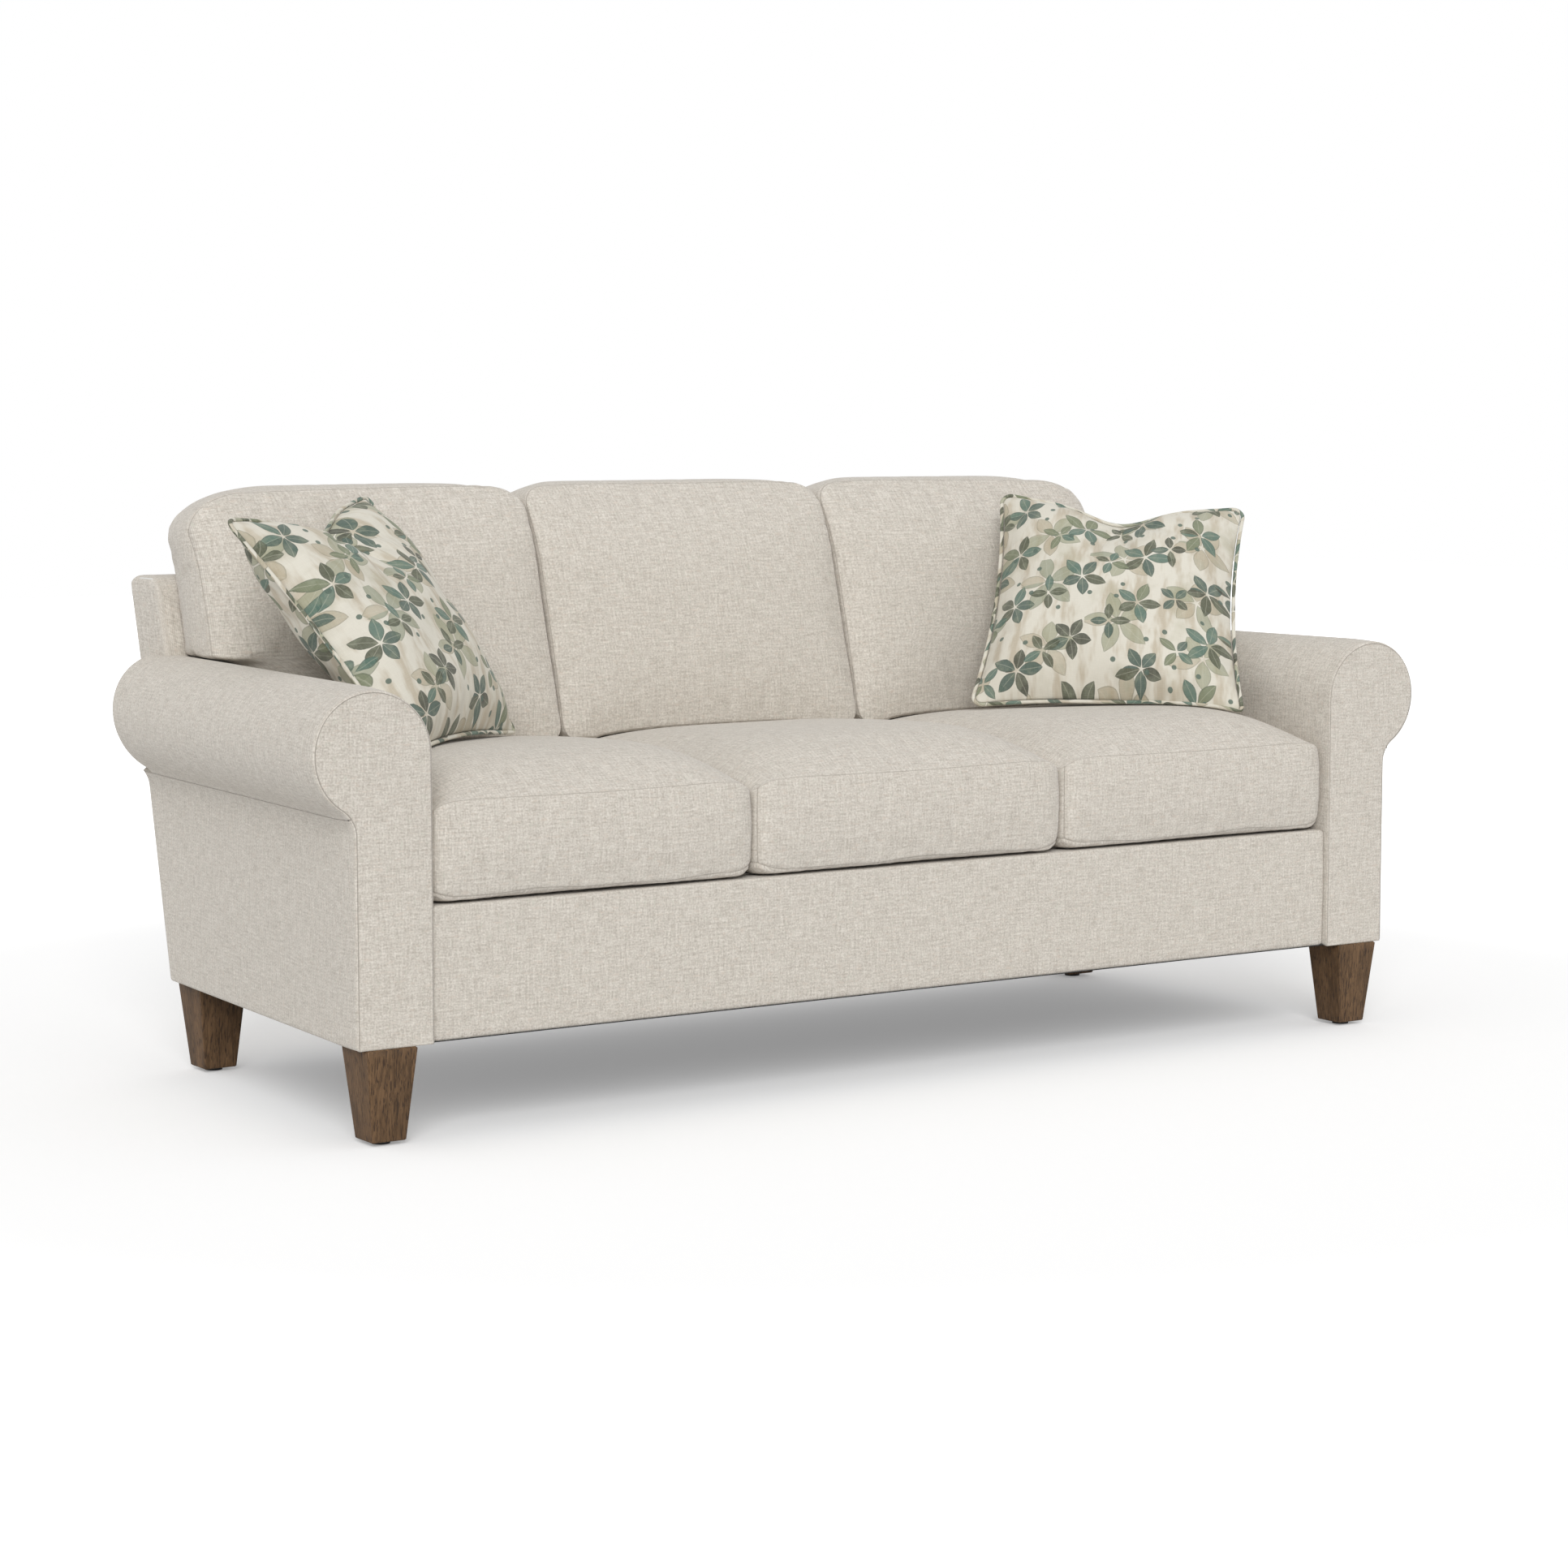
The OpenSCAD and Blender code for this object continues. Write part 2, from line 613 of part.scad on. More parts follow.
module seat_side_rail() {
    color(timber) difference() {
        side_run(rail_y + board_t, rear_rail_y)
            upright_strip(-board_t - ease, board_t, frame_z, rail_top_h);
        arm_bolt_holes(arm_bolt_r + bolt_ease, -over - board_t, arm_w);
    }
}

module seat_stretchers() {
    low = frame_z + (rail_top_h - frame_z) / 3;
    color(timber) both_ends()
        translate([seat_joint_x - board_t / 2, rail_y + board_t, frame_z])
            cube([board_t, rear_rail_y - rail_y - board_t, low - frame_z]);
}

module seat_corner_block(y, towards) {
    inner = side_x(-board_t - 2 * ease, y);
    far_y = y + towards * corner_block_w;
    color(timber) translate([0, 0, frame_z]) linear_extrude(height = block_h)
        polygon([[inner - corner_block_w, y], [inner, y], [side_x(-board_t - 2 * ease, far_y), far_y]]);
}

module seat_corner_blocks() {
    both_ends() {
        seat_corner_block(rail_y + board_t, 1);
        seat_corner_block(rear_rail_y, -1);
    }
}

strap_z = rail_top_h;
strap_first_y = rail_y;
strap_last_y = rear_rail_y + board_t;

module seat_straps_long() {
    pitch = seat_mid_w / strap_n;
    reach_x = side_x(-board_t, strap_last_y) - strap_w / 2;
    color(strap_brown) for (i = [0:3 * strap_n - 1]) let(x = (i - (3 * strap_n - 1) / 2) * pitch)
        if (abs(x) < reach_x)
            translate([x - strap_w / 2, strap_first_y, strap_z])
                cube([strap_w, strap_last_y - strap_first_y, strap_t]);
}

module seat_straps_cross() {
    pitch = (strap_last_y - strap_first_y) / (cross_n + 1);
    color(strap_brown) for (i = [1:cross_n]) let(
        y = strap_first_y + i * pitch, half = side_x(-ease, y + strap_w / 2))
        translate([-half, y - strap_w / 2, strap_z + strap_t]) cube([2 * half, strap_w, strap_t]);
}

fold_y = front_y + rail_cover_set + rail_fold;

module deck_cover() {
    rear = in_y(deck_z - deck_t) + inside_back_t;
    color(linen_shade) translate([0, 0, deck_z - deck_t]) linear_extrude(height = deck_t)
        polygon([[-side_x(0, fold_y) + ease, fold_y + ease], [side_x(0, fold_y) - ease, fold_y + ease],
            [side_x(0, rear) - ease, rear], [-side_x(0, rear) + ease, rear]]);
}

module front_rail_cover() {
    y = front_y + rail_cover_set;
    half = side_x(0, fold_y) - ease;
    color(linen) across(half) {
        translate([y, frame_z]) square([outside_t, rail_cover_h - frame_z]);
        translate([y, rail_cover_h - outside_t]) square([rail_fold, outside_t]);
    }
}

module dust_cover() {
    near = post_y;
    far = layer_y(base_z, outside_t + ease);
    u = arm_w - outside_t - 2 * ease;
    color(black_cloth) difference() {
        translate([0, 0, base_z]) linear_extrude(height = dust_t)
            polygon([[-side_x(u, near), near], [side_x(u, near), near],
                [side_x(u, far), far], [-side_x(u, far), far]]);
        both_ends() for (place = leg_places)
            translate([place[0], place[1], base_z - over])
                cylinder(r = leg_bolt_r + bolt_ease, h = 2 * over);
    }
}

// Arms

arm_core_inset = cover_t + pad_t + 2 * ease;
arm_rear_post_y = in_y(frame_z) - ease - ply_t;

module arm_front_post() {
    color(plywood) side_run(post_y, post_y + ply_t) arm_section(arm_core_inset, frame_z);
}

module arm_rear_post() {
    color(plywood) side_run(arm_rear_post_y, arm_rear_post_y + ply_t)
        arm_section(arm_core_inset, frame_z + arm_rail_h);
}

module arm_bottom_rail() {
    color(timber) difference() {
        side_run(post_y + ply_t, rear_block_y)
            upright_strip(arm_rail_u, board_t, frame_z, frame_z + arm_rail_h);
        arm_bolt_holes(arm_bolt_r + bolt_ease, -over, arm_w);
    }
}

module arm_top_rail() {
    color(timber) side_run(post_y + ply_t, arm_rear_post_y) intersection() {
        arm_section(arm_core_inset, frame_z);
        upright_strip(0, 2 * roll_r, roll_z - board_t / 2, roll_z + board_t / 2);
    }
}

module arm_padding() {
    inset = cover_t + ease;
    color(wadding) difference() {
        side_run(post_y, rear_y) difference() {
            arm_section(inset, frame_z);
            arm_section(inset + pad_t, -over);
            arm_outer_side(inset + pad_t);
        }
        back_zone();
        behind(roll_stop + cover_t + ease);
        arm_bolt_holes(arm_bolt_r + bolt_ease, -over, over);
    }
}

module arm_cover() {
    color(linen) difference() {
        side_run(panel_y, rear_y) difference() {
            arm_section(0, frame_z);
            arm_outer_side(outside_t + ease);
        }
        difference() {
            side_run(front_y - over, rear_y) arm_section(cover_t, -over);
            intersection() {
                behind(roll_stop + cover_t);
                translate([-reach / 2, -reach / 2, block_top_z + ease]) cube(reach);
            }
        }
        back_zone();
        behind(roll_stop);
        arm_bolt_holes(arm_bolt_r + bolt_ease, -over, over);
    }
}

module arm_front_panel() {
    inset = cover_t + ease;
    color(linen) translate([side_x(0, panel_y + panel_t / 2), 0, 0])
        run(panel_y, panel_y + panel_t) difference() {
            arm_section(inset, base_z);
            arm_outer_side(outside_t + ease);
        }
}

module arm_outside_panel() {
    color(linen) difference() {
        side_run(panel_y, rear_y)
            upright_strip(arm_w - outside_t, outside_t, base_z, roll_seam_z - ease);
        behind(0);
    }
}

module arm_bolts() {
    nut_u = arm_rail_u + board_t;
    color(steel) both_ends() {
        arm_bolt_holes(arm_bolt_r, -ease - board_t, nut_u + 2 * arm_bolt_r);
        arm_bolt_holes(arm_bolt_head_r, -ease - board_t - arm_bolt_head_t, -ease - board_t);
        arm_bolt_holes(arm_bolt_head_r, nut_u, nut_u + arm_bolt_head_t);
    }
}

// A block in the arm's foot that takes a leg's bolt
module leg_block(from, to, place) {
    u = arm_rail_u + board_t;
    difference() {
        side_run(from, to)
            upright_strip(u, arm_w - outside_t - u - ease, frame_z, frame_z + block_h);
        translate([place[0], place[1], frame_z - over])
            cylinder(r = tee_r + bolt_ease, h = block_h + 2 * over);
        translate([place[0], place[1], frame_z - over])
            cylinder(r = tee_flange_r + bolt_ease, h = over + tee_flange_t);
    }
}

module leg_blocks() {
    color(timber) both_ends() {
        leg_block(post_y + ply_t, post_y + ply_t + back_board_w, leg_places[0]);
        leg_block(rear_block_y, rear_rail_y + board_t, leg_places[1]);
    }
}

// Back

module back_post() {
    color(timber) translate([back_post_x + board_t / 2, 0, 0]) across(board_t / 2)
        polygon(layer(post_d, post_d + back_board_w, block_top_z, back_rail_z));
}

module back_centre_posts() {
    color(timber) both_ends() translate([seat_joint_x, 0, 0]) across(board_t / 2)
        polygon(layer(post_d, post_d + back_board_w, rail_top_h, back_rail_z));
}

module back_top_rail() {
    color(timber) across(back_post_x + board_t)
        polygon(layer(post_d, post_d + back_board_w, back_rail_z, back_rail_z + board_t));
}

// The stretches between the posts, as pairs of a middle and a half width
back_bays = let(inner = seat_joint_x - board_t / 2, outer = seat_joint_x + board_t / 2)
    [[0, inner], [(outer + back_post_x) / 2, (back_post_x - outer) / 2],
        [-(outer + back_post_x) / 2, (back_post_x - outer) / 2]];

module back_bottom_rails() {
    color(timber) for (bay = back_bays) translate([bay[0], 0, 0]) across(bay[1])
        polygon(layer(post_d + back_board_w - board_t, post_d + back_board_w,
            seat_base_h, seat_base_h + back_rail_h));
}

module back_straps() {
    d = post_d + back_board_w;
    color(strap_brown) for (bay = back_bays) for (i = [1:back_strap_n]) let(
        x = bay[0] + bay[1] * (2 * i / (back_strap_n + 1) - 1))
        translate([x, 0, 0]) across(strap_w / 2)
            polygon(layer(d, d + strap_t, seat_base_h, back_rail_z + board_t));
}

module back_top_padding() {
    inset = cover_t + ease;
    color(wadding) difference() {
        across(back_w / 2 - inset) back_section(inset, back_rail_z + board_t);
        translate([-reach / 2, -reach / 2, -reach]) cube([reach, reach, reach + back_rail_z + board_t]);
        across(reach / 2) polygon(layer(inside_d - ease, back_t + over, 0, in_top_z + ease));
        across(reach / 2) polygon(layer(-over, outside_t + ease, 0, out_top_z + ease));
    }
}

module inside_back_panel() {
    color(linen_shade) across(back_w / 2 - cover_t - ease)
        polygon(layer(inside_d, back_t, deck_z + ease, in_top_z));
}

module outside_back_panel() {
    wide = side_x(arm_w - outside_t - ease, out_y(roll_seam_z));
    color(linen) {
        across(wide) polygon(layer(0, outside_t, base_z, roll_seam_z));
        across(back_w / 2) polygon(layer(0, outside_t, roll_seam_z, out_top_z));
    }
}

module back_border() {
    color(linen) difference() {
        across(back_w / 2) back_section(0, block_top_z);
        across(back_w / 2 - cover_t) back_section(cover_t, block_top_z - over);
        across(reach / 2) polygon(layer(inside_d - ease, back_t + over, 0, in_top_z + ease));
        across(reach / 2) polygon(layer(-over, outside_t + ease, 0, out_top_z + ease));
    }
}

// Legs

module leg_profile() {
    low = leg_foot_w / 2;
    high = leg_top_w / 2;
    neck = base_z - leg_chamfer;
    polygon([[-low, glide_h], [low, glide_h], [high, neck], [high - leg_chamfer, base_z],
        [leg_chamfer - high, base_z], [-high, neck]]);
}

module leg(place) {
    half = leg_top_w / 2 + over;
    color(walnut) translate([place[0], place[1], 0]) difference() {
        intersection() {
            run(-half, half) leg_profile();
            across(half) leg_profile();
        }
        translate([0, 0, base_z - leg_bolt_down - ease])
            cylinder(r = leg_bolt_r + bolt_ease, h = leg_bolt_down + over);
        translate([0, 0, glide_h - over]) cylinder(r = glide_nail_r + bolt_ease / 2,
            h = over + glide_nail_l + ease);
    }
}

module at_legs() {
    both_ends() for (place = leg_places) translate([place[0], place[1], 0]) children();
}

module leg_bolts() {
    color(steel) at_legs() translate([0, 0, base_z - leg_bolt_down])
        cylinder(r = leg_bolt_r, h = leg_bolt_down + leg_bolt_up);
}

module leg_tee_nuts() {
    color(steel) at_legs() difference() {
        union() {
            translate([0, 0, frame_z]) cylinder(r = tee_flange_r, h = tee_flange_t);
            translate([0, 0, frame_z]) cylinder(r = tee_r, h = block_h / 3);
        }
        translate([0, 0, frame_z - over]) cylinder(r = leg_bolt_r + bolt_ease / 3, h = block_h + over);
    }
}

module leg_glides() {
    color(black_cloth) at_legs() {
        cylinder(r = glide_r, h = glide_h);
        translate([0, 0, glide_h]) cylinder(r = glide_nail_r, h = glide_nail_l);
    }
}

// The two pillows as they stand

module throw_pillow_left() {
    color(print_cream)
        throw_pillow(left_pillow_x, left_pillow_front_set, left_pillow_yaw, left_pillow_lean);
}

module throw_pillow_right() {
    color(print_cream)
        throw_pillow(right_pillow_x, right_pillow_front_set, right_pillow_yaw, right_pillow_lean);
}

module pillow_piping_left() {
    color(print_green)
        pillow_piping(left_pillow_x, left_pillow_front_set, left_pillow_yaw, left_pillow_lean);
}

module pillow_piping_right() {
    color(print_green)
        pillow_piping(right_pillow_x, right_pillow_front_set, right_pillow_yaw, right_pillow_lean);
}

module left_end() {
    mirror([1, 0, 0]) children();
}

front_rail();
rear_rail();
left_end() seat_side_rail();  // seat_side_rail_left
seat_side_rail();  // seat_side_rail_right
seat_stretchers();
seat_corner_blocks();
seat_straps_long();
seat_straps_cross();
deck_cover();
front_rail_cover();
dust_cover();
left_end() arm_front_post();  // arm_front_post_left
arm_front_post();  // arm_front_post_right
left_end() arm_rear_post();  // arm_rear_post_left
arm_rear_post();  // arm_rear_post_right
left_end() arm_bottom_rail();  // arm_bottom_rail_left
arm_bottom_rail();  // arm_bottom_rail_right
left_end() arm_top_rail();  // arm_top_rail_left
arm_top_rail();  // arm_top_rail_right
left_end() arm_padding();  // arm_padding_left
arm_padding();  // arm_padding_right
left_end() arm_cover();  // arm_cover_left
arm_cover();  // arm_cover_right
left_end() arm_front_panel();  // arm_front_panel_left
arm_front_panel();  // arm_front_panel_right
left_end() arm_outside_panel();  // arm_outside_panel_left
arm_outside_panel();  // arm_outside_panel_right
arm_bolts();
leg_blocks();
left_end() back_post();  // back_post_left
back_post();  // back_post_right
back_centre_posts();
back_top_rail();
back_bottom_rails();
back_straps();
back_top_padding();
inside_back_panel();
outside_back_panel();
back_border();
left_end() leg(leg_places[0]);  // leg_front_left
leg(leg_places[0]);  // leg_front_right
left_end() leg(leg_places[1]);  // leg_rear_left
leg(leg_places[1]);  // leg_rear_right
leg_bolts();
leg_tee_nuts();
leg_glides();
left_end() outer_seat_cushion();  // seat_cushion_left
centre_seat_cushion();  // seat_cushion_centre
outer_seat_cushion();  // seat_cushion_right
left_end() outer_back_cushion();  // back_cushion_left
centre_back_cushion();  // back_cushion_centre
outer_back_cushion();  // back_cushion_right
throw_pillow_left();
throw_pillow_right();
pillow_piping_left();
pillow_piping_right();
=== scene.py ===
import json
import math

import bmesh
import bpy
import numpy as np
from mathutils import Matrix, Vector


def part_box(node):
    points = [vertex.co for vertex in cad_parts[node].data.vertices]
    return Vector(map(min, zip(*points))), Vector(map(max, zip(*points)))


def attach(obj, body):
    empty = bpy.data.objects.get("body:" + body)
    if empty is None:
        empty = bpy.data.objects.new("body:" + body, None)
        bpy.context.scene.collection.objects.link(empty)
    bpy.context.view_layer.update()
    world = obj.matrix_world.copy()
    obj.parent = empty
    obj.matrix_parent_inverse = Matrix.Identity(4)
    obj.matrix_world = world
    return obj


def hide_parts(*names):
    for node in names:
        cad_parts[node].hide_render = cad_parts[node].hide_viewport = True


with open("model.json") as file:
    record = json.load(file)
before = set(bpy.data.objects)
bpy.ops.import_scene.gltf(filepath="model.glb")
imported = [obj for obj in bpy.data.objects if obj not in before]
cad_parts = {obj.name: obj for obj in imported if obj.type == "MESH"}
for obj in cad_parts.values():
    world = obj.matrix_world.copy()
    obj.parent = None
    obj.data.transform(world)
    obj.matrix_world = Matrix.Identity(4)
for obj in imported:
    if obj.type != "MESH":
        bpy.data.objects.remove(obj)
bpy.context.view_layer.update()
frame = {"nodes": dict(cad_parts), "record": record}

# Camera.
# It stands in front of the sofa's left end at chest height and looks slightly down, with a long lens.


def placed(name, data):
    """A new object of the scene with the data given."""
    made = bpy.data.objects.new(name, data)
    bpy.context.collection.objects.link(made)
    return made


camera = placed("camera", bpy.data.cameras.new("camera"))
camera.data.sensor_width = 36
camera.data.lens = 84.4
camera.location = (-3.4066, -5.1572, 1.0788)
camera.rotation_euler = (math.radians(84.074), 0, math.radians(-33.878))
bpy.context.scene.camera = camera
bpy.context.scene.view_settings.view_transform = "Standard"

# Studio.
# A white floor that keeps the soft shadow, a plain bright room and one broad, distant lamp in front on
# the left. Seen directly, the room is pure white.


class Wire:
    """One output of a node. Sums, differences, products and quotients of wires add their Math nodes."""

    def __init__(self, finish, socket):
        self.finish = finish
        self.socket = socket

    def math(self, operation, *others):
        return self.finish.node("ShaderNodeMath", {"operation": operation}, (self, *others))

    def other(self, output):
        return Wire(self.finish, self.socket.node.outputs[output])

    def __add__(self, other):
        return self.math("ADD", other)

    def __sub__(self, other):
        return self.math("SUBTRACT", other)

    def __rsub__(self, other):
        return self.finish.node("ShaderNodeMath", {"operation": "SUBTRACT"}, (other, self))

    def __mul__(self, other):
        return self.math("MULTIPLY", other)

    def __truediv__(self, other):
        return self.math("DIVIDE", other)

    __radd__ = __add__
    __rmul__ = __mul__

    def ramp(self, low, high, smooth=True):
        """0 below low, 1 above high, and a smooth or straight rise between them."""
        kind = "SMOOTHSTEP" if smooth else "LINEAR"
        return self.finish.node("ShaderNodeMapRange", {"interpolation_type": kind}, (self, low, high, 0, 1))


class Finish:
    """The nodes of one material or of the world, added one call at a time."""

    def __init__(self, owner):
        owner.use_nodes = True
        self.owner = owner
        self.tree = owner.node_tree
        self.tree.nodes.clear()

    def node(self, kind, settings=(), inputs=(), output=0):
        """Adds a node, makes its settings, where stops are a colour ramp's, then sets or links its inputs,
        given by place or by name."""
        made = self.tree.nodes.new(kind)
        for name, value in dict(settings).items():
            if name == "stops":
                self.set_stops(made.color_ramp, value)
            else:
                setattr(made, name, value)
        pairs = inputs.items() if isinstance(inputs, dict) else enumerate(inputs)
        for name, value in pairs:
            socket = made.inputs[name]
            if isinstance(value, Wire):
                self.tree.links.new(value.socket, socket)
            elif socket.type == "RGBA":
                socket.default_value = (*value, 1)
            else:
                socket.default_value = value
        return Wire(self, made.outputs[output]) if len(made.outputs) else None

    @staticmethod
    def set_stops(ramp, stops):
        """Gives a colour ramp its steps of (place, colour), without blends between them."""
        ramp.interpolation = "CONSTANT"
        while len(ramp.elements) < len(stops):
            ramp.elements.new(0.5)
        for element, (place, tint) in zip(ramp.elements, stops):
            element.position = place
            element.color = (*tint, 1)

    def mix(self, share, first, second):
        """The colour between two colours."""
        return self.node("ShaderNodeMix", {"data_type": "RGBA"}, {0: share, 6: first, 7: second}, output=2)

    def vector(self, x, y, z=0.0):
        return self.node("ShaderNodeCombineXYZ", (), (x, y, z))

    def split(self, vector):
        first = self.node("ShaderNodeSeparateXYZ", (), (vector,))
        return first, first.other(1), first.other(2)

    def noise(self, vector, scale, detail=2.0, roughness=0.5):
        return self.node("ShaderNodeTexNoise", (),
            {"Vector": vector, "Scale": scale, "Detail": detail, "Roughness": roughness})

    def bump(self, height, distance, strength=1.0):
        return self.node("ShaderNodeBump", (), {"Height": height, "Distance": distance, "Strength": strength})

    def surface(self, **inputs):
        """Ends the material in one Principled shader. Underscores in the names stand for spaces."""
        named = {name.replace("_", " "): value for name, value in inputs.items()}
        shader = self.node("ShaderNodeBsdfPrincipled", (), named)
        self.node_output(shader)
        return self.owner

    def node_output(self, shader):
        world = isinstance(self.owner, bpy.types.World)
        self.node("ShaderNodeOutputWorld" if world else "ShaderNodeOutputMaterial", (), (shader,))


floor_half = 14.0
floor_white = (0.8, 0.8, 0.8)
shadow_glow = 0.255
clear_glow = 0.5
clear_from, clear_to = 1.7, 3.0
room_light = 0.66

seen = Finish(bpy.data.worlds.new("room"))
bpy.context.scene.world = seen.owner
path = seen.node("ShaderNodeLightPath")
direct = path + path.other("Is Glossy Ray") + path.other("Is Transmission Ray")
lit = seen.node("ShaderNodeBackground", (), ((1.0, 1.0, 1.0), room_light))
white = seen.node("ShaderNodeBackground", (), ((1.0, 1.0, 1.0), 1.0))
seen.node_output(seen.node("ShaderNodeMixShader", (), (direct.math("MINIMUM", 1.0), lit, white)))

ground = Finish(bpy.data.materials.new("studio_floor"))
path = ground.node("ShaderNodeLightPath")
x, y, _ = ground.split(ground.node("ShaderNodeTexCoord", output=3))
far = (x * x + y * y).math("SQRT").ramp(clear_from, clear_to)
matt = ground.node("ShaderNodeBsdfDiffuse", (), (floor_white,))
glow = ground.node("ShaderNodeEmission", (), ((1.0, 1.0, 1.0), shadow_glow + far * clear_glow))
brighter = ground.node("ShaderNodeAddShader", (), (matt, glow))
ground.node_output(ground.node("ShaderNodeMixShader", (), (path, matt, brighter)))

corners = np.array([[-1, -1, 0], [1, -1, 0], [1, 1, 0], [-1, 1, 0]]) * floor_half
floor_mesh = bpy.data.meshes.new("studio_floor")
floor_mesh.from_pydata(corners, [], [(0, 1, 2, 3)])
floor_mesh.materials.append(ground.owner)
placed("studio_floor", floor_mesh)

lamp_place = (-6.1, -9.6, 7.4)
lamp_aim = (0.0, 0.0, 0.4)
lamp = placed("lamp", bpy.data.lights.new("lamp", "SUN"))
lamp.data.angle = 0.5
lamp.data.energy = 1.62
lamp.location = lamp_place
away = np.array(lamp_place) - np.array(lamp_aim)
lamp.rotation_euler = (math.acos(away[2] / np.linalg.norm(away)), 0, math.atan2(away[0], -away[1]))

# Frame of the sofa.
# Planed hardwood rails and posts, plywood arm posts, elastic webbing, polyester wadding and zinc plated
# bolts. The covers hide all of it, and the glides stand under the legs.


def timber_finish(name, pale, dark, along, ring, roughness):
    """Straight grained wood: fine streaks that are long in one direction, over a slower change of tone."""
    wood = Finish(bpy.data.materials.new(name))
    place = wood.node("ShaderNodeTexCoord", output=3)
    grain = wood.node("ShaderNodeMapping", (), {"Vector": place, "Scale": along})
    wave = wood.noise(grain, ring, 6.0, 0.65)
    pores = wood.noise(grain, ring * 9, 2.0, 0.5).ramp(0.62, 0.75)
    tone = wood.mix(wave.ramp(0.3, 0.7), dark, pale)
    tone = wood.mix(pores * 0.45, tone, tuple(0.35 * c for c in dark))
    return wood.surface(Base_Color=tone, Roughness=roughness + wave * 0.15,
        Normal=wood.bump(wave - pores, 0.0004))


def woven_finish(name, pale, dark, pitch, roughness):
    """Plain weave on object coordinates: threads in both directions that pass over and under."""
    cloth = Finish(bpy.data.materials.new(name))
    x, y, z = cloth.split(cloth.node("ShaderNodeTexCoord", output=3))
    across = (x * (math.pi / pitch)).math("SINE")
    along = ((y + z) * (math.pi / pitch)).math("SINE")
    over = across * along
    patch = cloth.noise(cloth.node("ShaderNodeTexCoord", output=3), 40.0, 3.0)
    tone = cloth.mix((over * 0.5 + patch).ramp(0.2, 1.0), dark, pale)
    return cloth.surface(Base_Color=tone, Roughness=roughness, Normal=cloth.bump(over, pitch / 6))


def fluffy_finish(name, pale, dark):
    """Loose white fibre: soft clumps with fine hairs between them."""
    fibre = Finish(bpy.data.materials.new(name))
    place = fibre.node("ShaderNodeTexCoord", output=3)
    clump = fibre.noise(place, 60.0, 5.0, 0.7)
    return fibre.surface(Base_Color=fibre.mix(clump, dark, pale), Roughness=0.95,
        Normal=fibre.bump(clump, 0.003))


def metal_finish(name, tint, metallic, roughness):
    """Plated or moulded small parts with a faint mottle."""
    metal = Finish(bpy.data.materials.new(name))
    mottle = metal.noise(metal.node("ShaderNodeTexCoord", output=3), 300.0, 3.0)
    tone = metal.mix(mottle, tuple(0.8 * c for c in tint), tint)
    return metal.surface(Base_Color=tone, Metallic=metallic, Roughness=roughness + mottle * 0.15)


inner_finishes = {slot: made(slot, *looks) for slot, made, *looks in (
    ("hardwood", timber_finish, (0.60, 0.42, 0.24), (0.46, 0.29, 0.15), (1, 1, 12), 9.0, 0.5),
    ("plywood", timber_finish, (0.55, 0.38, 0.21), (0.42, 0.27, 0.14), (1, 60, 1), 7.0, 0.55),
    ("webbing", woven_finish, (0.42, 0.30, 0.17), (0.16, 0.10, 0.05), 0.003, 0.85),
    ("wadding", fluffy_finish, (0.86, 0.86, 0.83), (0.70, 0.70, 0.67)),
    ("zinc_steel", metal_finish, (0.58, 0.59, 0.61), 1.0, 0.3),
    ("glide_nylon", metal_finish, (0.018, 0.018, 0.02), 0.0, 0.45))}
for part in frame["record"]["subparts"]:
    if part["material_slot"] in inner_finishes:
        mesh = frame["nodes"][part["node"]].data
        mesh.materials.clear()
        mesh.materials.append(inner_finishes[part["material_slot"]])

# Arm covers.
# Linen-look cloth over wadding. One piece wraps the inner side, the roll and the hollow under it, and the
# back end of the roll has a cap. A flat front panel and a flat outside panel are sewn on with plain seams.

splay = math.radians(4.2)
lean = math.radians(15.4)
arm_w = 0.129
roll_r = 0.097
hollow_r = 0.042
edge_r = 0.009
seam_r = 0.0015
front_draw = 0.0028
front_flare = 0.060
seam_tuck = 0.002
tuck_reach = 0.005
foot_r = 0.005
fold_in = 0.025
roll_stop = 0.040
arm_fit = 0.00013
cover_drop = 0.0005
front_crown = 0.0018
pitch = 0.0085
arm_step = 0.011
outer_turn = 70
end_corners = (125, 40)
seam_steps = (0.002, 0.004, 0.006)
edge_steps = np.array([0, 0.0006, 0.002, 0.0045])
weld_reach = 1e-5
seam_far = 0.03

front_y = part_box("leg_front_left")[0][1]
rear_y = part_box("back_border")[1][1]
base_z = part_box("arm_front_panel_left")[0][2] - cover_drop
arm_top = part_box("arm_cover_right")[1][2]
panel_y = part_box("arm_cover_right")[0][1]
roll_z = arm_top - roll_r
arm_inner_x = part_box("arm_cover_right")[1][0] + (panel_y - front_y) * math.tan(splay) \
    - roll_r * (1 + 1 / math.cos(splay)) + arm_fit


def side_x(u, y):
    """Place across the sofa of what lies u outside the arm's inner side, which closes in to the back."""
    return arm_inner_x + u / math.cos(splay) - (y - front_y) * math.tan(splay)


back_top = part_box("back_border")[1][2]
back_edge_r = 0.035
back_t = 0.105


def layer_y(z, depth):
    """Place of a layer of the back that lies at a depth inside its leaning rear face."""
    edge_y = rear_y - back_edge_r
    edge_z = back_top - back_edge_r
    return edge_y + (back_edge_r - depth) / math.cos(lean) + (z - edge_z) * math.tan(lean)


def arc_points(middle, radius, start, stop, count):
    """Points of an arc between two angles in degrees."""
    turn = np.radians(np.linspace(start, stop, count))
    return grid_of(middle[0] + radius * np.cos(turn), middle[1] + radius * np.sin(turn))


def grid_of(*axes):
    """A grid of points from their coordinates, which may be single rows, columns or numbers."""
    return np.stack(np.broadcast_arrays(*axes), axis=-1)


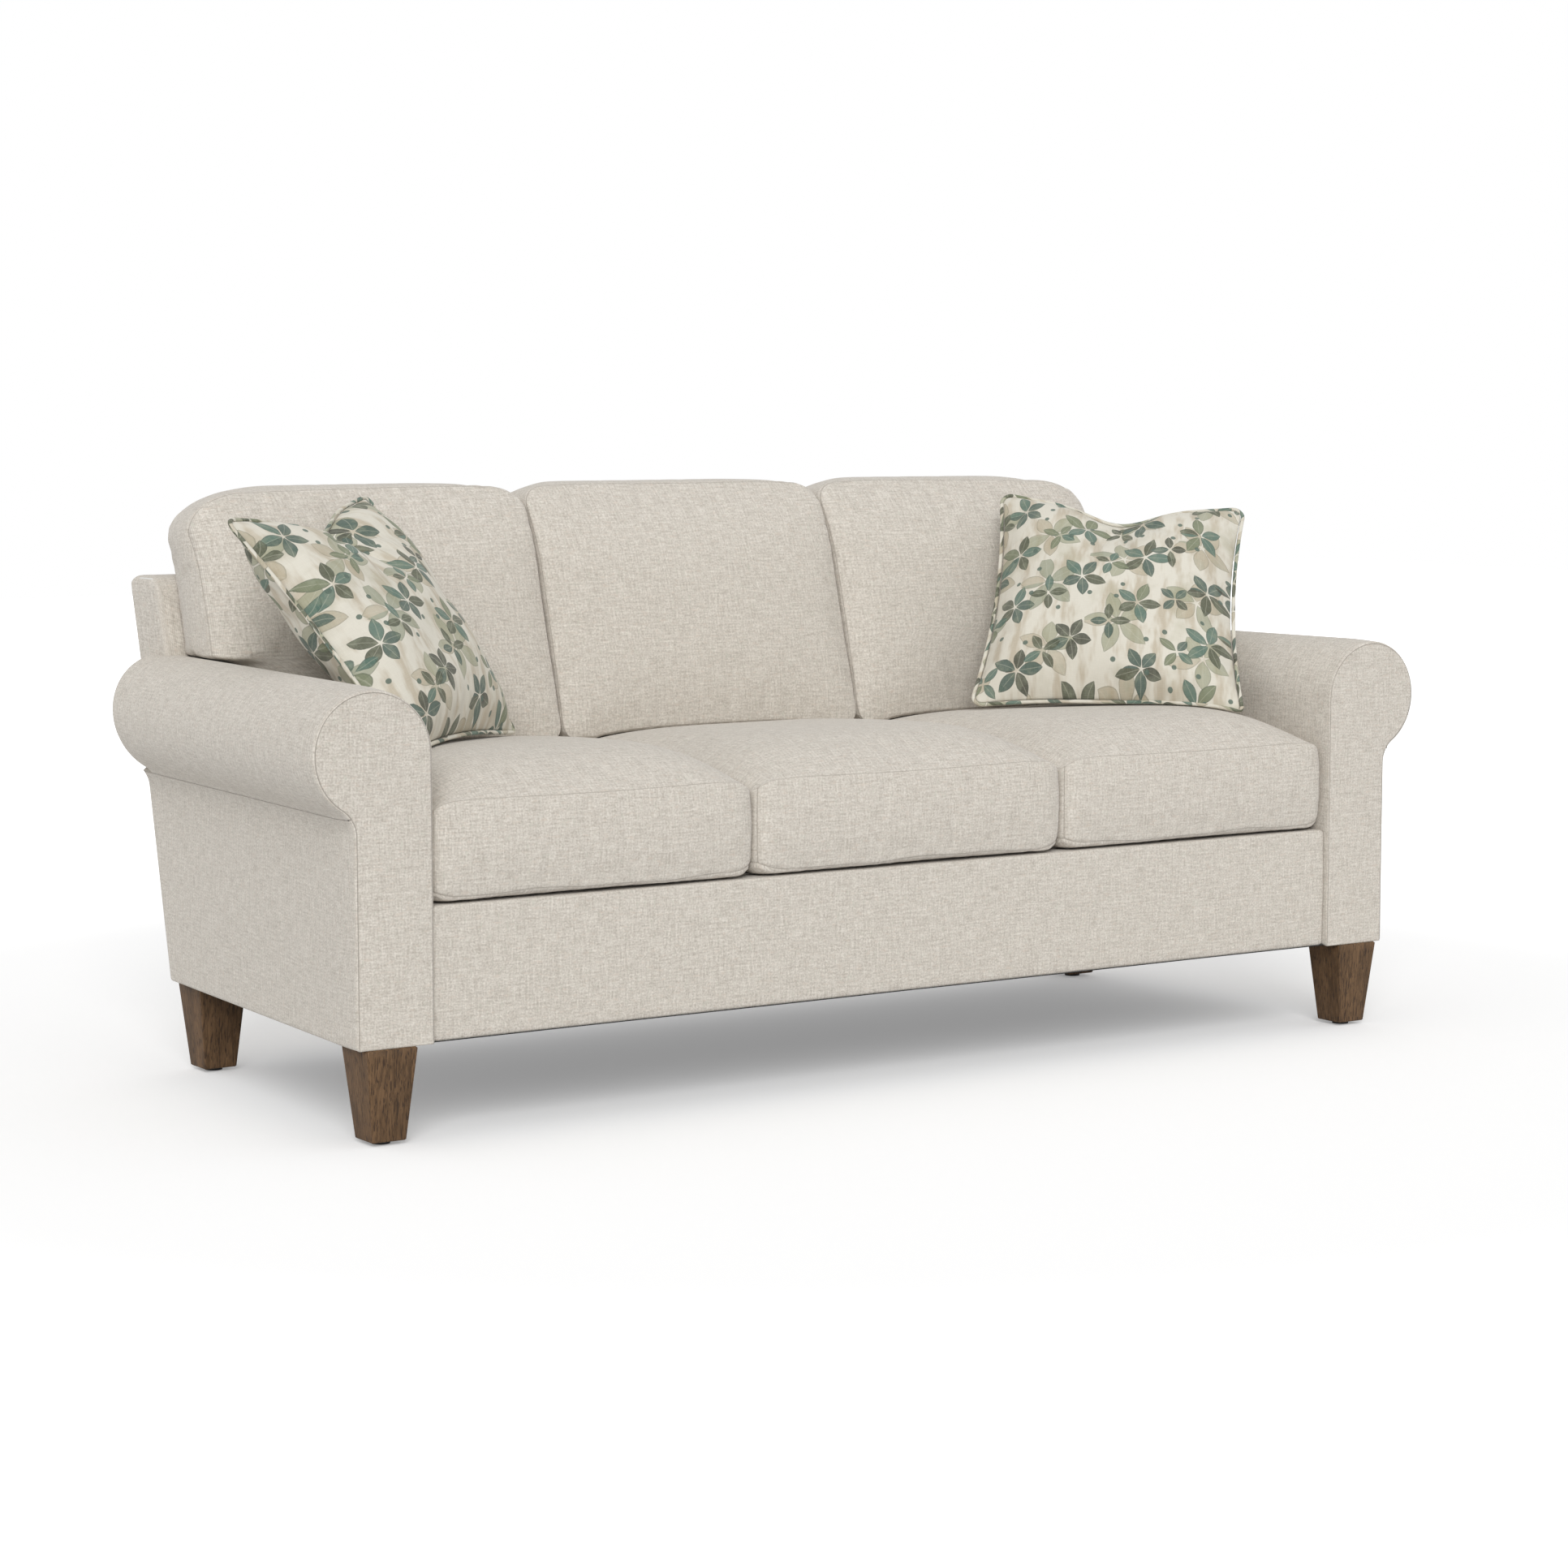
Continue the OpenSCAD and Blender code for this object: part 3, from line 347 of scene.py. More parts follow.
def running(points):
    """Length along a line of points, from its start to each of them."""
    return np.concatenate([[0], np.cumsum(np.linalg.norm(np.diff(points, axis=0), axis=1))])


def resample(points, shares):
    """Points at the given shares of the length of a line of points, straight between them."""
    along = running(points)
    return np.stack([np.interp(shares * along[-1], along, axis) for axis in points.T], axis=1)


def graded(length, steps=seam_steps, step=pitch):
    """Shares of a length: growing steps from both ends, then even ones of about the usual size."""
    ends = np.cumsum(steps)
    count = max(2, round((length - 2 * ends[-1]) / step) + 1)
    inner = np.linspace(ends[-1], length - ends[-1], count)
    return np.concatenate([[0], ends[:-1], inner, length - ends[:-1][::-1], [length]]) / length


def filled(bottom, right, top, left, across, up):
    """A surface between four sides: the mean of the blends of opposite sides, less that of the corners."""
    bottom = resample(bottom, across)
    top = resample(top, across)
    left = resample(left, up)
    right = resample(right, up)
    s = across[None, :, None]
    t = up[:, None, None]
    ends = (1 - t) * bottom + t * top
    flanks = (1 - s) * left[:, None] + s * right[:, None]
    square = (1 - s) * (1 - t) * bottom[0] + s * (1 - t) * bottom[-1] + (1 - s) * t * top[0] + s * t * top[-1]
    return ends + flanks - square


def outward_normals(grid, middle):
    """Unit normals of a grid, from the cross product of its two directions, pointing away from middle."""
    normal = np.cross(np.gradient(grid, axis=1), np.gradient(grid, axis=0))
    normal /= np.linalg.norm(normal, axis=2, keepdims=True) + 1e-12
    return normal * np.sign((normal * (grid - middle)).sum())


usual_edges = ("first_column", "last_column", "last_row")


def tucked(grid, flat, middle, edges=usual_edges, depth=0.005, lip=0.0008):
    """A grid of cloth with its named edges turned in, first a lip and then the depth, square to it."""
    for edge in edges:
        axis = 0 if edge in ("first_row", "last_row") else 1
        at = 0 if edge in ("first_row", "first_column") else -1
        normal = outward_normals(grid, middle).take([at], axis=axis)
        line = grid.take([at], axis=axis)
        flat_line = flat.take([at], axis=axis)
        rows = [line - normal * lip, line - normal * depth]
        if at == 0:
            grid = np.concatenate([rows[1], rows[0], grid], axis=axis)
            flat = np.concatenate([flat_line, flat_line, flat], axis=axis)
        else:
            grid = np.concatenate([grid, rows[0], rows[1]], axis=axis)
            flat = np.concatenate([flat, flat_line, flat_line], axis=axis)
    return grid, flat


def distance_to(points, line):
    """Distance of each point from the nearest point of a line, in slices to save memory. What rounding
    leaves of a distance of nought is cleared."""
    found = [np.sqrt(np.maximum(0, (part ** 2).sum(1)[:, None] + (line ** 2).sum(1)[None]
        - 2 * part @ line.T).min(1)) for part in np.array_split(points, max(1, len(points) // 4000))]
    found = np.concatenate(found)
    return np.where(found < weld_reach / 10, 0, found)


def sew(name, panels, middle, seams):
    """Joins panels into one mesh. A panel is a grid of places and a grid of cloth coordinates in metres.
    Faces look away from the middle, points that panels share become one, and the attribute seam holds
    each point's distance from the nearest seam."""
    places, faces, flats = [], [], []
    start = 0
    for grid, flat in panels:
        rows, columns = grid.shape[:2]
        first = (np.arange(rows - 1)[:, None] * columns + np.arange(columns - 1)).ravel()
        quads = np.stack([first, first + 1, first + columns + 1, first + columns], axis=1)
        corners = grid.reshape(-1, 3)[quads]
        normal = np.cross(corners[:, 2] - corners[:, 0], corners[:, 3] - corners[:, 1])
        if (normal * (corners.mean(1) - middle)).sum() < 0:
            quads = quads[:, ::-1]
        places.append(grid.reshape(-1, 3))
        flats.append(flat.reshape(-1, 2)[quads].reshape(-1, 2))
        faces.append(quads + start)
        start += rows * columns
    mesh = bpy.data.meshes.new(name)
    mesh.from_pydata(np.concatenate(places), [], np.concatenate(faces))
    cloth = mesh.uv_layers.new(name="cloth")
    cloth.data.foreach_set("uv", np.concatenate(flats).ravel())
    weld = bmesh.new()
    weld.from_mesh(mesh)
    bmesh.ops.remove_doubles(weld, verts=weld.verts, dist=weld_reach)
    weld.to_mesh(mesh)
    weld.free()
    mesh.shade_smooth()
    piece = placed(name, mesh)
    near = mesh.attributes.new("seam", "FLOAT", "POINT")
    near.data.foreach_set("value", np.minimum(distance_to(places_of(piece), seams), seam_far))
    return piece


def places_of(piece, what="co"):
    """The points of a piece's mesh, or their normals, as an array."""
    found = np.empty(len(piece.data.vertices) * 3)
    piece.data.vertices.foreach_get(what, found)
    return found.reshape(-1, 3)


def seam_distance(piece):
    """Each point's distance from the nearest seam, as sew has kept it."""
    near = np.empty(len(piece.data.vertices))
    piece.data.attributes["seam"].data.foreach_get("value", near)
    return near


def move_to(piece, places):
    piece.data.vertices.foreach_set("co", places.ravel())
    piece.data.update()


def backed(piece, thickness=0.002):
    """Gives cloth its thickness, on the inside."""
    solid = piece.modifiers.new("thickness", "SOLIDIFY")
    solid.thickness = thickness
    solid.offset = -1
    return piece


def softened(piece):
    """One level of smooth subdivision, the same in the view and the render."""
    smooth = piece.modifiers.new("smooth", "SUBSURF")
    smooth.levels = 1
    smooth.render_levels = 1
    return piece


def mirrored(name, piece):
    """The same piece on the sofa's other end: the mesh with X reversed and its faces turned back."""
    twin = placed(name, piece.data.copy())
    move_to(twin, places_of(piece) * (-1, 1, 1))
    twin.data.flip_normals()
    return twin


cream_dark = (0.480, 0.438, 0.382)
cream_light = (0.762, 0.718, 0.648)
# Dark colour of the gaps between threads, and also of the painted shade along the seams.
weave_gap_and_seam_shade = (0.20, 0.17, 0.14)
thread = 0.00165
warm_tint = (0.64, 0.555, 0.475)
green_tint = (0.575, 0.575, 0.49)


def linen_finish():
    """Heathered basket weave: each thread has its own tone, slubs run along some of them, and where four
    threads meet a small dark gap shows. Faint warm and green threads lie among the others. Near the seams
    the colour is darkened as painted shade in the seams' creases."""
    linen = Finish(bpy.data.materials.new("linen_cover"))
    across, up, _ = linen.split(linen.node("ShaderNodeUVMap", {"uv_map": "cloth"}))
    stray = linen.noise(linen.vector(across, up), 90.0, 2.0) * 0.0012
    across = across + stray
    up = up - stray
    warp = (across * (math.pi / thread)).math("SINE")
    weft = (up * (math.pi / thread)).math("SINE")
    over = warp * weft
    gap = (1 - warp * warp) * (1 - weft * weft)

    def streaks(wide, long, seed, upright):
        """Noise that is wide across the threads and long along them, in threads per metre, about nought."""
        place = linen.vector(across * wide, up * long, seed) if upright \
            else linen.vector(across * long, up * wide, seed)
        return linen.noise(place, 1.0, 2.0, 0.6) - 0.5

    knots = linen.noise(linen.vector(across, up, 5.0), 330.0, 1.0, 0.6) - 0.5
    tone = knots * 1.5 + streaks(300.0, 40.0, 1.0, True) * 1.1 + streaks(300.0, 40.0, 7.0, False) * 1.1 \
        + streaks(240.0, 16.0, 3.0, True) * 0.4 + streaks(240.0, 16.0, 11.0, False) * 0.5
    colour = linen.mix((tone + 0.5).ramp(0.0, 1.0, False), cream_dark, cream_light)
    warm = streaks(200.0, 60.0, 13.0, False).ramp(0.06, 0.2)
    colour = linen.mix(warm * 0.5, colour, warm_tint)
    green = streaks(200.0, 60.0, 17.0, True).ramp(0.08, 0.2)
    colour = linen.mix(green * 0.4, colour, green_tint)
    colour = linen.mix(gap.ramp(0.3, 1.0) * 0.55, colour, weave_gap_and_seam_shade)
    near = linen.node("ShaderNodeAttribute", {"attribute_name": "seam"}, output="Fac")
    # Painted shade: within about 1.5 mm of a seam the colour darkens, standing in for the shade in the seam's
    # crease. The same mask also sinks the bump there.
    seam_groove_and_shade = 1 - near.ramp(0.0002, 0.0015)
    colour = linen.mix(seam_groove_and_shade * 0.42, colour, weave_gap_and_seam_shade)
    relief = over.math("ABSOLUTE") + tone * 0.6 - seam_groove_and_shade
    return linen.surface(Base_Color=colour, Roughness=0.93, Specular_IOR_Level=0.15,
        Sheen_Weight=0.2, Sheen_Roughness=0.5, Normal=linen.bump(relief, 0.0003, 0.5))


linen_cover = linen_finish()


def finished(piece, node, body="sofa", material=linen_cover):
    """Gives a piece its material and its body, and hides the part of the model that it stands for."""
    piece.data.materials.clear()
    piece.data.materials.append(material)
    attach(piece, body)
    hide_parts(node)


roll_tuck = 0.014
fine_bend = 0.003
foot_bend = 0.002
hollow = (arm_w + hollow_r, roll_z - math.sqrt((roll_r + hollow_r) ** 2 - (arm_w + hollow_r - roll_r) ** 2))
meet_angle = math.degrees(math.atan2(hollow[1] - roll_z, hollow[0] - roll_r))
seam_angle = 145


def straight(start, stop, inward, step=pitch):
    count = max(2, round(math.dist(start, stop) / step) + 1)
    line = np.linspace(start, stop, count)
    return line, np.tile(inward, (count, 1)).astype(float)


def bend(middle, radius, start, stop, hollow_side=False, step=0.006):
    """An arc of the section. The inset points to its middle, or away from it on a hollow."""
    count = max(4, round(abs(math.radians(stop - start)) * radius / step) + 1)
    line = arc_points(middle, radius, start, stop, count)
    inward = (np.array(middle) - line) / radius
    return line, -inward if hollow_side else inward


def joined(*stretches):
    """Stretches of a section one after another, without the doubled points."""
    lines = [stretch[0][min(i, 1):] for i, stretch in enumerate(stretches)]
    inwards = [stretch[1][min(i, 1):] for i, stretch in enumerate(stretches)]
    return np.concatenate(lines), np.concatenate(inwards)


def sideways(stretch, direction):
    """The same stretch with its inset turned level, for the folded foot of the cover."""
    return stretch[0], np.tile([direction, 0.0], (len(stretch[0]), 1))


cover_section = joined(
    sideways(straight((fold_in, base_z), (foot_r, base_z), (0, 1)), 1),
    sideways(bend((foot_r, base_z + foot_r), foot_r, 270, 180, step=foot_bend), 1),
    straight((0, base_z + foot_r), (0, roll_z), (1, 0)),
    bend((roll_r, roll_z), roll_r, 180, meet_angle),
    bend(hollow, hollow_r, 180 + meet_angle, seam_angle, True, fine_bend))
outside_section = joined(
    bend(hollow, hollow_r, seam_angle, 180, True, fine_bend),
    straight((arm_w, hollow[1]), (arm_w, base_z + foot_r), (-1, 0)),
    sideways(bend((arm_w - foot_r, base_z + foot_r), foot_r, 0, -90, step=foot_bend), -1),
    sideways(straight((arm_w - foot_r, base_z), (arm_w - fold_in, base_z), (0, 1)), -1))


def rounded_inset(distance, radius):
    """How far a rounded edge of a radius lies inside, at a distance from its end."""
    reach = np.clip(distance, 0, radius)
    return radius - np.sqrt(np.maximum(0, radius ** 2 - (radius - reach) ** 2))


def outer_share(u, z):
    """0 on the arm's inner side and 1 over the roll's outer part, with a smooth rise round the roll."""
    turn = np.degrees(np.arctan2(np.maximum(z - roll_z, 0), u - roll_r))
    share = np.clip((180 - turn) / outer_turn, 0, 1)
    return share * share * (3 - 2 * share)


def arm_wrap(section, rear_depth, rear_round):
    """The section carried along the arm. The front seam draws the roll and the outer side in, and the
    rear edge is rounded, where it ends on a leaning plane at a depth inside the back's rear face."""
    line, inward = section
    length = layer_y(roll_z, rear_depth) - panel_y
    inner = np.linspace(edge_r, length - edge_r, round(length / arm_step))
    along = np.concatenate([edge_steps, inner, length - edge_steps[::-1]]) / length
    stop = layer_y(line[:, 1], rear_depth)[:, None]
    y = panel_y + along[None] * (stop - panel_y)
    drawn = front_draw * (1 - np.clip(along * length / front_flare, 0, 1)) ** 1.5 \
        + seam_tuck * (1 - np.clip(along * length / tuck_reach, 0, 1)) ** 2
    inset = rounded_inset(along * length, seam_r) + rounded_inset((1 - along) * length, rear_round) \
        + outer_share(line[:, :1], line[:, 1:]) * drawn
    section_place = line[:, None] + inward[:, None] * inset[..., None]
    grid = grid_of(side_x(section_place[..., 0], y), y, section_place[..., 1])
    flat = grid_of(running(line)[:, None], y / math.cos(splay))
    return grid, flat


def arm_end_sides(inset, draw):
    """The four sides of an end of the arm, in the section's plane, an inset inside its outline and drawn
    in further on the roll and the outer side."""
    inner, outer = inset, arm_w - inset - draw

    def roll(start, stop, count):
        turn = np.radians(np.linspace(start, stop, count))
        way = grid_of(np.cos(turn), np.sin(turn))
        share = outer_share(roll_r + way[:, :1], roll_z + way[:, 1:])
        return (roll_r, roll_z) + way * (roll_r - inset - draw * share)

    left = np.concatenate([[(inner, base_z)], roll(180, end_corners[0], 24)])
    top = roll(*end_corners, 40)
    hollow_out = arc_points(hollow, hollow_r + inset + draw, 180, 180 + meet_angle, 16)
    right = np.concatenate([[(outer, base_z)], hollow_out, roll(meet_angle, end_corners[1], 40)[1:]])
    bottom = np.array([(inner, base_z), (outer, base_z)])
    return bottom, right, top, left


arm_middle = np.array([side_x(arm_w / 2, 0), -0.05, 0.42])
cover_grid, cover_flat = arm_wrap(cover_section, roll_stop, edge_r)
outside_grid, outside_flat = arm_wrap(outside_section, 0.0, edge_r)

front_sides = arm_end_sides(seam_r, front_draw + seam_tuck)
end_across = graded(arm_w - 2 * edge_r)
end_up = graded(running(front_sides[3])[-1])
front_plan = filled(*front_sides, end_across, end_up)
end_plan = filled(*arm_end_sides(edge_r, 0), end_across, end_up)
end_crown = (1 - (2 * end_across[None] - 1) ** 2) * (1 - np.abs(2 * end_up[:, None] - 1) ** 3)
front_grid = grid_of(side_x(front_plan[..., 0], panel_y), panel_y - front_crown * end_crown,
    front_plan[..., 1])
cap_y = layer_y(end_plan[..., 1], roll_stop) + front_crown * end_crown
cap_grid = grid_of(side_x(end_plan[..., 0], cap_y), cap_y, end_plan[..., 1])



def seams_of(grid, *rows):
    """The points of a grid's two sides and of the rows given, where seams run."""
    return np.concatenate([grid[:, 0], grid[:, -1], *(grid[row] for row in rows)])


outside_tucked = tucked(outside_grid, outside_flat, arm_middle, ("first_row",), roll_tuck)
arm_nodes = ("arm_cover", "arm_front_panel", "arm_outside_panel")
right_pieces = [sew(f"{name}_right_arm", panels, arm_middle, seams) for name, panels, seams in (
    ("cover", [tucked(cover_grid, cover_flat, arm_middle), tucked(cap_grid, end_plan, arm_middle)],
        seams_of(cover_grid, -1)),
    ("front", [tucked(front_grid, front_plan, arm_middle, (*usual_edges, "first_row"))],
        seams_of(front_grid, -1)),
    ("outside", [tucked(*outside_tucked, arm_middle, usual_edges[:2])], seams_of(outside_grid, 0)))]
for node, piece in zip(arm_nodes, right_pieces):
    twin = mirrored(piece.name.replace("right", "left"), piece)
    for side, one in (("right", piece), ("left", twin)):
        finished(backed(one), f"{node}_{side}")

# Front rail cover.
# The same cloth over the padded front rail. It turns over the top edge, under the cushions, and is
# stapled under the rail. Both ends round back beside the arms.

rail_low, rail_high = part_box("front_rail_cover")
rail_y = rail_low[1]
rail_top = rail_high[2]
rail_fold_y = rail_high[1]
rail_round = 0.004
rail_corner = 0.008
rail_swell = 0.0015
rail_gap = 0.0004
rail_wave_size = 0.4
rail_tuck = 0.003
rail_fold = 0.03
rail_end_steps = (0.0004, 0.001, 0.0018, 0.003, 0.004)

rail_section = np.concatenate([
    [(rail_y + rail_fold, base_z + cover_drop)],
    arc_points((rail_y + foot_r, base_z + foot_r), foot_r, 270, 180, 5),
    grid_of(rail_y, np.linspace(base_z + foot_r, rail_top - rail_round, 24)[1:-1]),
    arc_points((rail_y + rail_round, rail_top - rail_round), rail_round, 180, 90, 7),
    grid_of(np.linspace(rail_y + rail_round, rail_fold_y, 6)[1:], rail_top)])
rail_half = side_x(0, rail_y) - rail_gap
rail_x = rail_half * (2 * graded(2 * rail_half, rail_end_steps, arm_step) - 1)
rail_inset = rounded_inset(rail_half - np.abs(rail_x), rail_round)
rail_drop = rounded_inset(rail_half - np.abs(rail_x), rail_corner)
rail_high_part = (2 * np.clip((rail_section[:, 1:] - base_z) / (rail_top - base_z), 0, 1) - 1) ** 7
rail_face = np.sin(np.pi * np.clip((rail_section[:, 1] - base_z) / (rail_top - base_z), 0, 1))
rail_wave = np.sin(rail_x * 9.1) * 0.4 + np.sin(rail_x * 23.7 + 1) * 0.25
rail_depth = rail_section[:, :1] + rail_inset \
    - rail_swell * rail_face[:, None] * (1 + rail_wave_size * rail_wave)
rail_grid = grid_of(rail_x / rail_half * (side_x(0, rail_depth) - rail_gap), rail_depth,
    rail_section[:, 1:] - rail_high_part * rail_drop)
rail_flat = grid_of(rail_x[None], running(rail_section)[:, None])
rail_middle = np.array([0, rail_y + 0.05, 0.25])
rail_cover = sew("cover_front_rail", [tucked(rail_grid, rail_flat, rail_middle, usual_edges[:2],
    rail_tuck)], rail_middle, rail_grid[0])
finished(backed(rail_cover), "front_rail_cover")

# Deck and dust covers.
# A plain cloth deck lies over the webbing and carries the cushions. Under the frame a thin black cloth is
# pulled tight and stapled.


level_step = 0.02
level_sag = 0.0008
deck_t, deck_hem, deck_u = 0.003, 0.003, -0.0004
dust_t, dust_hem, dust_u = 0.0006, 0.001, arm_w - 0.005


def level_cloth(name, z, near, far, u):
    """A flat grid between the two arms, at one height, that narrows to the back with them. It sags by the
    product of two slow sines."""
    y = np.linspace(near, far, round((far - near) / level_step))[:, None]
    share = np.linspace(-1, 1, round(2 * side_x(u, near) / level_step))[None]
    x = share * side_x(u, y)
    sag = level_sag * np.abs(np.sin(x * 5.2) * np.sin(y * 6.1))
    grid = grid_of(x, y, z - sag)
    return sew(name, [(grid, grid[..., :2])], np.array([0, 0, z + (1 if u > 0.05 else -1)]), grid[0])


def stretched(cloth, material, thickness, node, u):
    finished(backed(cloth, thickness), node, material=material)
    low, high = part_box(node)
    length = high[1] - low[1]
    front, back = side_x(u, low[1]), side_x(u, high[1])
    2 * front
    length * (front + back)


deck_low, deck_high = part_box("deck_cover")
deck = level_cloth("deck_cloth", deck_high[2], deck_low[1], deck_high[1] - deck_hem, deck_u)
stretched(deck, linen_cover, deck_t, "deck_cover", 0)

dust_low, dust_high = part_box("dust_cover")
dust = level_cloth("dust_cloth", dust_low[2] + level_sag, dust_low[1], dust_high[1] - dust_hem, dust_u)
black_cloth = woven_finish("black_cloth", (0.03, 0.03, 0.032), (0.012, 0.012, 0.013), 0.0012, 0.9)
stretched(dust, black_cloth, dust_t, "dust_cover", dust_u)

# Back covers.
# A border of cloth runs up one end of the padded back, over its top and down the other end. The inside
# and outside panels are sewn to it, and the outside panel widens below the rolls to close the arms.

front_round = 0.028
rear_round = 0.032
end_round = 0.009
rear_turn = 78
corner_round = 0.014
front_wrap = 0.046
end_wrap = 0.046
end_rows, corner_rows, top_rows = 50, 6, 90
mitre_r = 0.0006
panel_step = 0.015
sink_reach = 0.02
back_clear = 0.0005
inside_low = 0.35
arm_foot_z = 0.3
back_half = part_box("back_border")[1][0]
border_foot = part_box("back_border")[0][2]


def border_stations(front_r, rear_r, wrap):
    """Insets and depths across the border: from the inside panel's seam round the front edge, over and
    round the rear edge to the outside panel's seam."""
    front_turn = np.radians(np.linspace(0, 90, 8))
    back_turn = np.radians(np.linspace(0, rear_turn, 8))
    inset = np.concatenate([np.linspace(wrap, front_r, 4)[:-1], front_r * (1 - np.sin(front_turn)),
        np.zeros(4), rear_r * (1 - np.cos(back_turn))])
    depth = np.concatenate([np.full(3, back_t), back_t - front_r * (1 - np.cos(front_turn)),
        np.linspace(back_t - front_r, rear_r, 6)[1:-1], rear_r * (1 - np.sin(back_turn))])
    return inset, depth


def border_loop(end_inset, top_inset):
    """One line of the border at its insets: up an end, round the corner, over the top and down. Past the
    corner's radius it becomes a mitre."""
    reach_x = max(corner_round - end_inset, mitre_r)
    reach_z = max(corner_round - top_inset, mitre_r)
    turn = np.radians(np.linspace(180, 90, corner_rows))
    bend_line = grid_of(end_inset + reach_x - back_half + reach_x * np.cos(turn),
        back_top - top_inset - reach_z + reach_z * np.sin(turn))
    end_z = np.linspace(border_foot, bend_line[0, 1], end_rows + 1)[:-1]
    top_x = np.linspace(bend_line[-1, 0], -bend_line[-1, 0], top_rows + 2)[1:-1]
    half = np.concatenate([grid_of(end_inset - back_half, end_z), bend_line])
    return np.concatenate([half, grid_of(top_x, back_top - top_inset), half[::-1] * (-1, 1)])


end_inset, end_depth = border_stations(end_round, end_round, end_wrap)
top_inset, top_depth = border_stations(front_round, rear_round, front_wrap)
border_place = np.stack([border_loop(*insets) for insets in zip(end_inset, top_inset)], axis=1)
turn_from, turn_to = end_rows - 2, end_rows + corner_rows + 1
place_in_half = np.minimum(np.arange(len(border_place)), np.arange(len(border_place))[::-1])
on_top = np.interp(place_in_half, [turn_from, turn_to], [0, 1])[:, None]
border_depth = end_depth + on_top * on_top * (3 - 2 * on_top) * (top_depth - end_depth)
border_grid = grid_of(border_place[..., 0], layer_y(border_place[..., 1], border_depth),
    border_place[..., 1])
border_middle_line = 12
border_length = running(border_place[:, border_middle_line])
border_flat = grid_of(border_length[:, None], running(grid_of(top_inset, top_depth)))
back_middle = np.array([0, layer_y(0.5, back_t / 2), 0.5])
border = sew("border_back", [tucked(border_grid, border_flat, back_middle, usual_edges[:2])],
    back_middle, seams_of(border_grid))
finished(backed(border), "back_border")


def back_panel(name, depth, facing, sink, edge, low, high, wide_low, step_z):
    """A flat panel of the leaning back, between seams that lie an edge inside the back's ends and sink
    below its face. Below a height it may be wider."""
    up = graded(high - low, step=panel_step)[:, None]
    z = low + up * (high - low)
    half = np.where(z < step_z, wide_low, back_half - edge)
    across = 2 * graded(2 * back_half, step=panel_step)[None] - 1
    x = across * half
    near = np.minimum(np.minimum(half - np.abs(x), high - z), sink_reach)
    inside = depth + sink * (1 - near / sink_reach) ** 2
    grid = grid_of(x, layer_y(z, inside), z)
    middle = back_middle - (0, facing * 0.3, 0)
    return backed(sew(name, [tucked(grid, grid[..., [0, 2]], middle)], middle, seams_of(grid, -1)))


inside_back = back_panel("inside_back", back_t - back_clear, -1, 0.0, end_wrap, inside_low,
    back_top - front_wrap, 0, 0)
finished(inside_back, "inside_back_panel")
outside_wide = side_x(arm_w - edge_r, layer_y(arm_foot_z, 0))
outside_back = back_panel("outside_back", 0.0, 1, end_depth[-1], end_inset[-1], base_z,
    back_top - top_inset[-1], outside_wide, hollow[1])
finished(outside_back, "outside_back_panel")

# Legs.
# Four square tapered legs of walnut with a satin finish. Their edges are eased, and a small chamfer at
# the top leaves a shadow line under the body.

walnut_dark = (0.070, 0.037, 0.015)
walnut_pale = (0.184, 0.104, 0.049)
walnut_pore = (0.028, 0.014, 0.007)
leg_taper = 0.0135
leg_ease = 0.0025
foot_ease = 0.0012
core_scale = 0.6
leg_chamfer = 0.003


def leg_mesh(name, node):
    """A rounded square that grows from foot to top: rings of the same outline, scaled, closed at both
    ends by rings that shrink to the middle."""
    low, high = (np.array(corner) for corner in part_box(node))
    middle = (low + high) / 2
    top_half = (high[0] - low[0]) / 2
    foot_half = top_half - leg_taper
    foot_z, top_z = low[2], high[2]
    corner_turns = np.radians(np.concatenate([np.linspace(a, a + 90, 5) for a in (0, 90, 180, 270)]))
    quadrant = np.repeat([[1, 1], [-1, 1], [-1, -1], [1, -1]], 5, axis=0)
    z = np.concatenate([[foot_z] * 3, [foot_z + foot_ease],
        np.linspace(foot_z + leg_chamfer, top_z - leg_chamfer, 12), [top_z] * 3])
    half = np.interp(z, [foot_z, top_z - leg_chamfer, top_z], [foot_half, top_half, top_half - leg_chamfer])
    half[2] -= foot_ease
    scale = np.ones(len(z))
    scale[[0, -1]] = 0
    scale[[1, -2]] = core_scale
    square = quadrant[None] * (half[:, None, None] - leg_ease)
    ring = (square + leg_ease * grid_of(np.cos(corner_turns), np.sin(corner_turns))) * scale[:, None, None]
    ring = np.concatenate([ring, ring[:, :1]], axis=1) + middle[:2]
    grid = grid_of(ring[..., 0], ring[..., 1], z[:, None])
    flat = grid_of(np.linspace(0, 8 * top_half, grid.shape[1]), z[:, None])
    return sew(name, [(grid, flat)], middle, middle[None])


def walnut_finish():
    """Satin walnut: broad soft bands up the leg, a fine even grain, and short dark pores."""
    wood = Finish(bpy.data.materials.new("walnut"))
    x, y, z = wood.split(wood.node("ShaderNodeTexCoord", output=3))
    bands = wood.noise(wood.vector(x * 38.0, y * 38.0, z * 4.0), 1.0, 4.0, 0.6)
    fine = wood.noise(wood.vector(x * 330.0, y * 330.0, z * 16.0), 1.0, 3.0, 0.65)
    pores = wood.noise(wood.vector(x * 480.0, y * 480.0, z * 50.0), 1.0, 1.0).ramp(0.56, 0.66)
    tone = wood.mix((bands * 0.45 + fine * 0.6).ramp(0.36, 0.72), walnut_dark, walnut_pale)
    tone = wood.mix(pores * 0.7, tone, walnut_pore)
    return wood.surface(Base_Color=tone, Roughness=0.5 + fine * 0.15, Specular_IOR_Level=0.35,
        Normal=wood.bump(fine * 0.5 - pores, 0.0003))


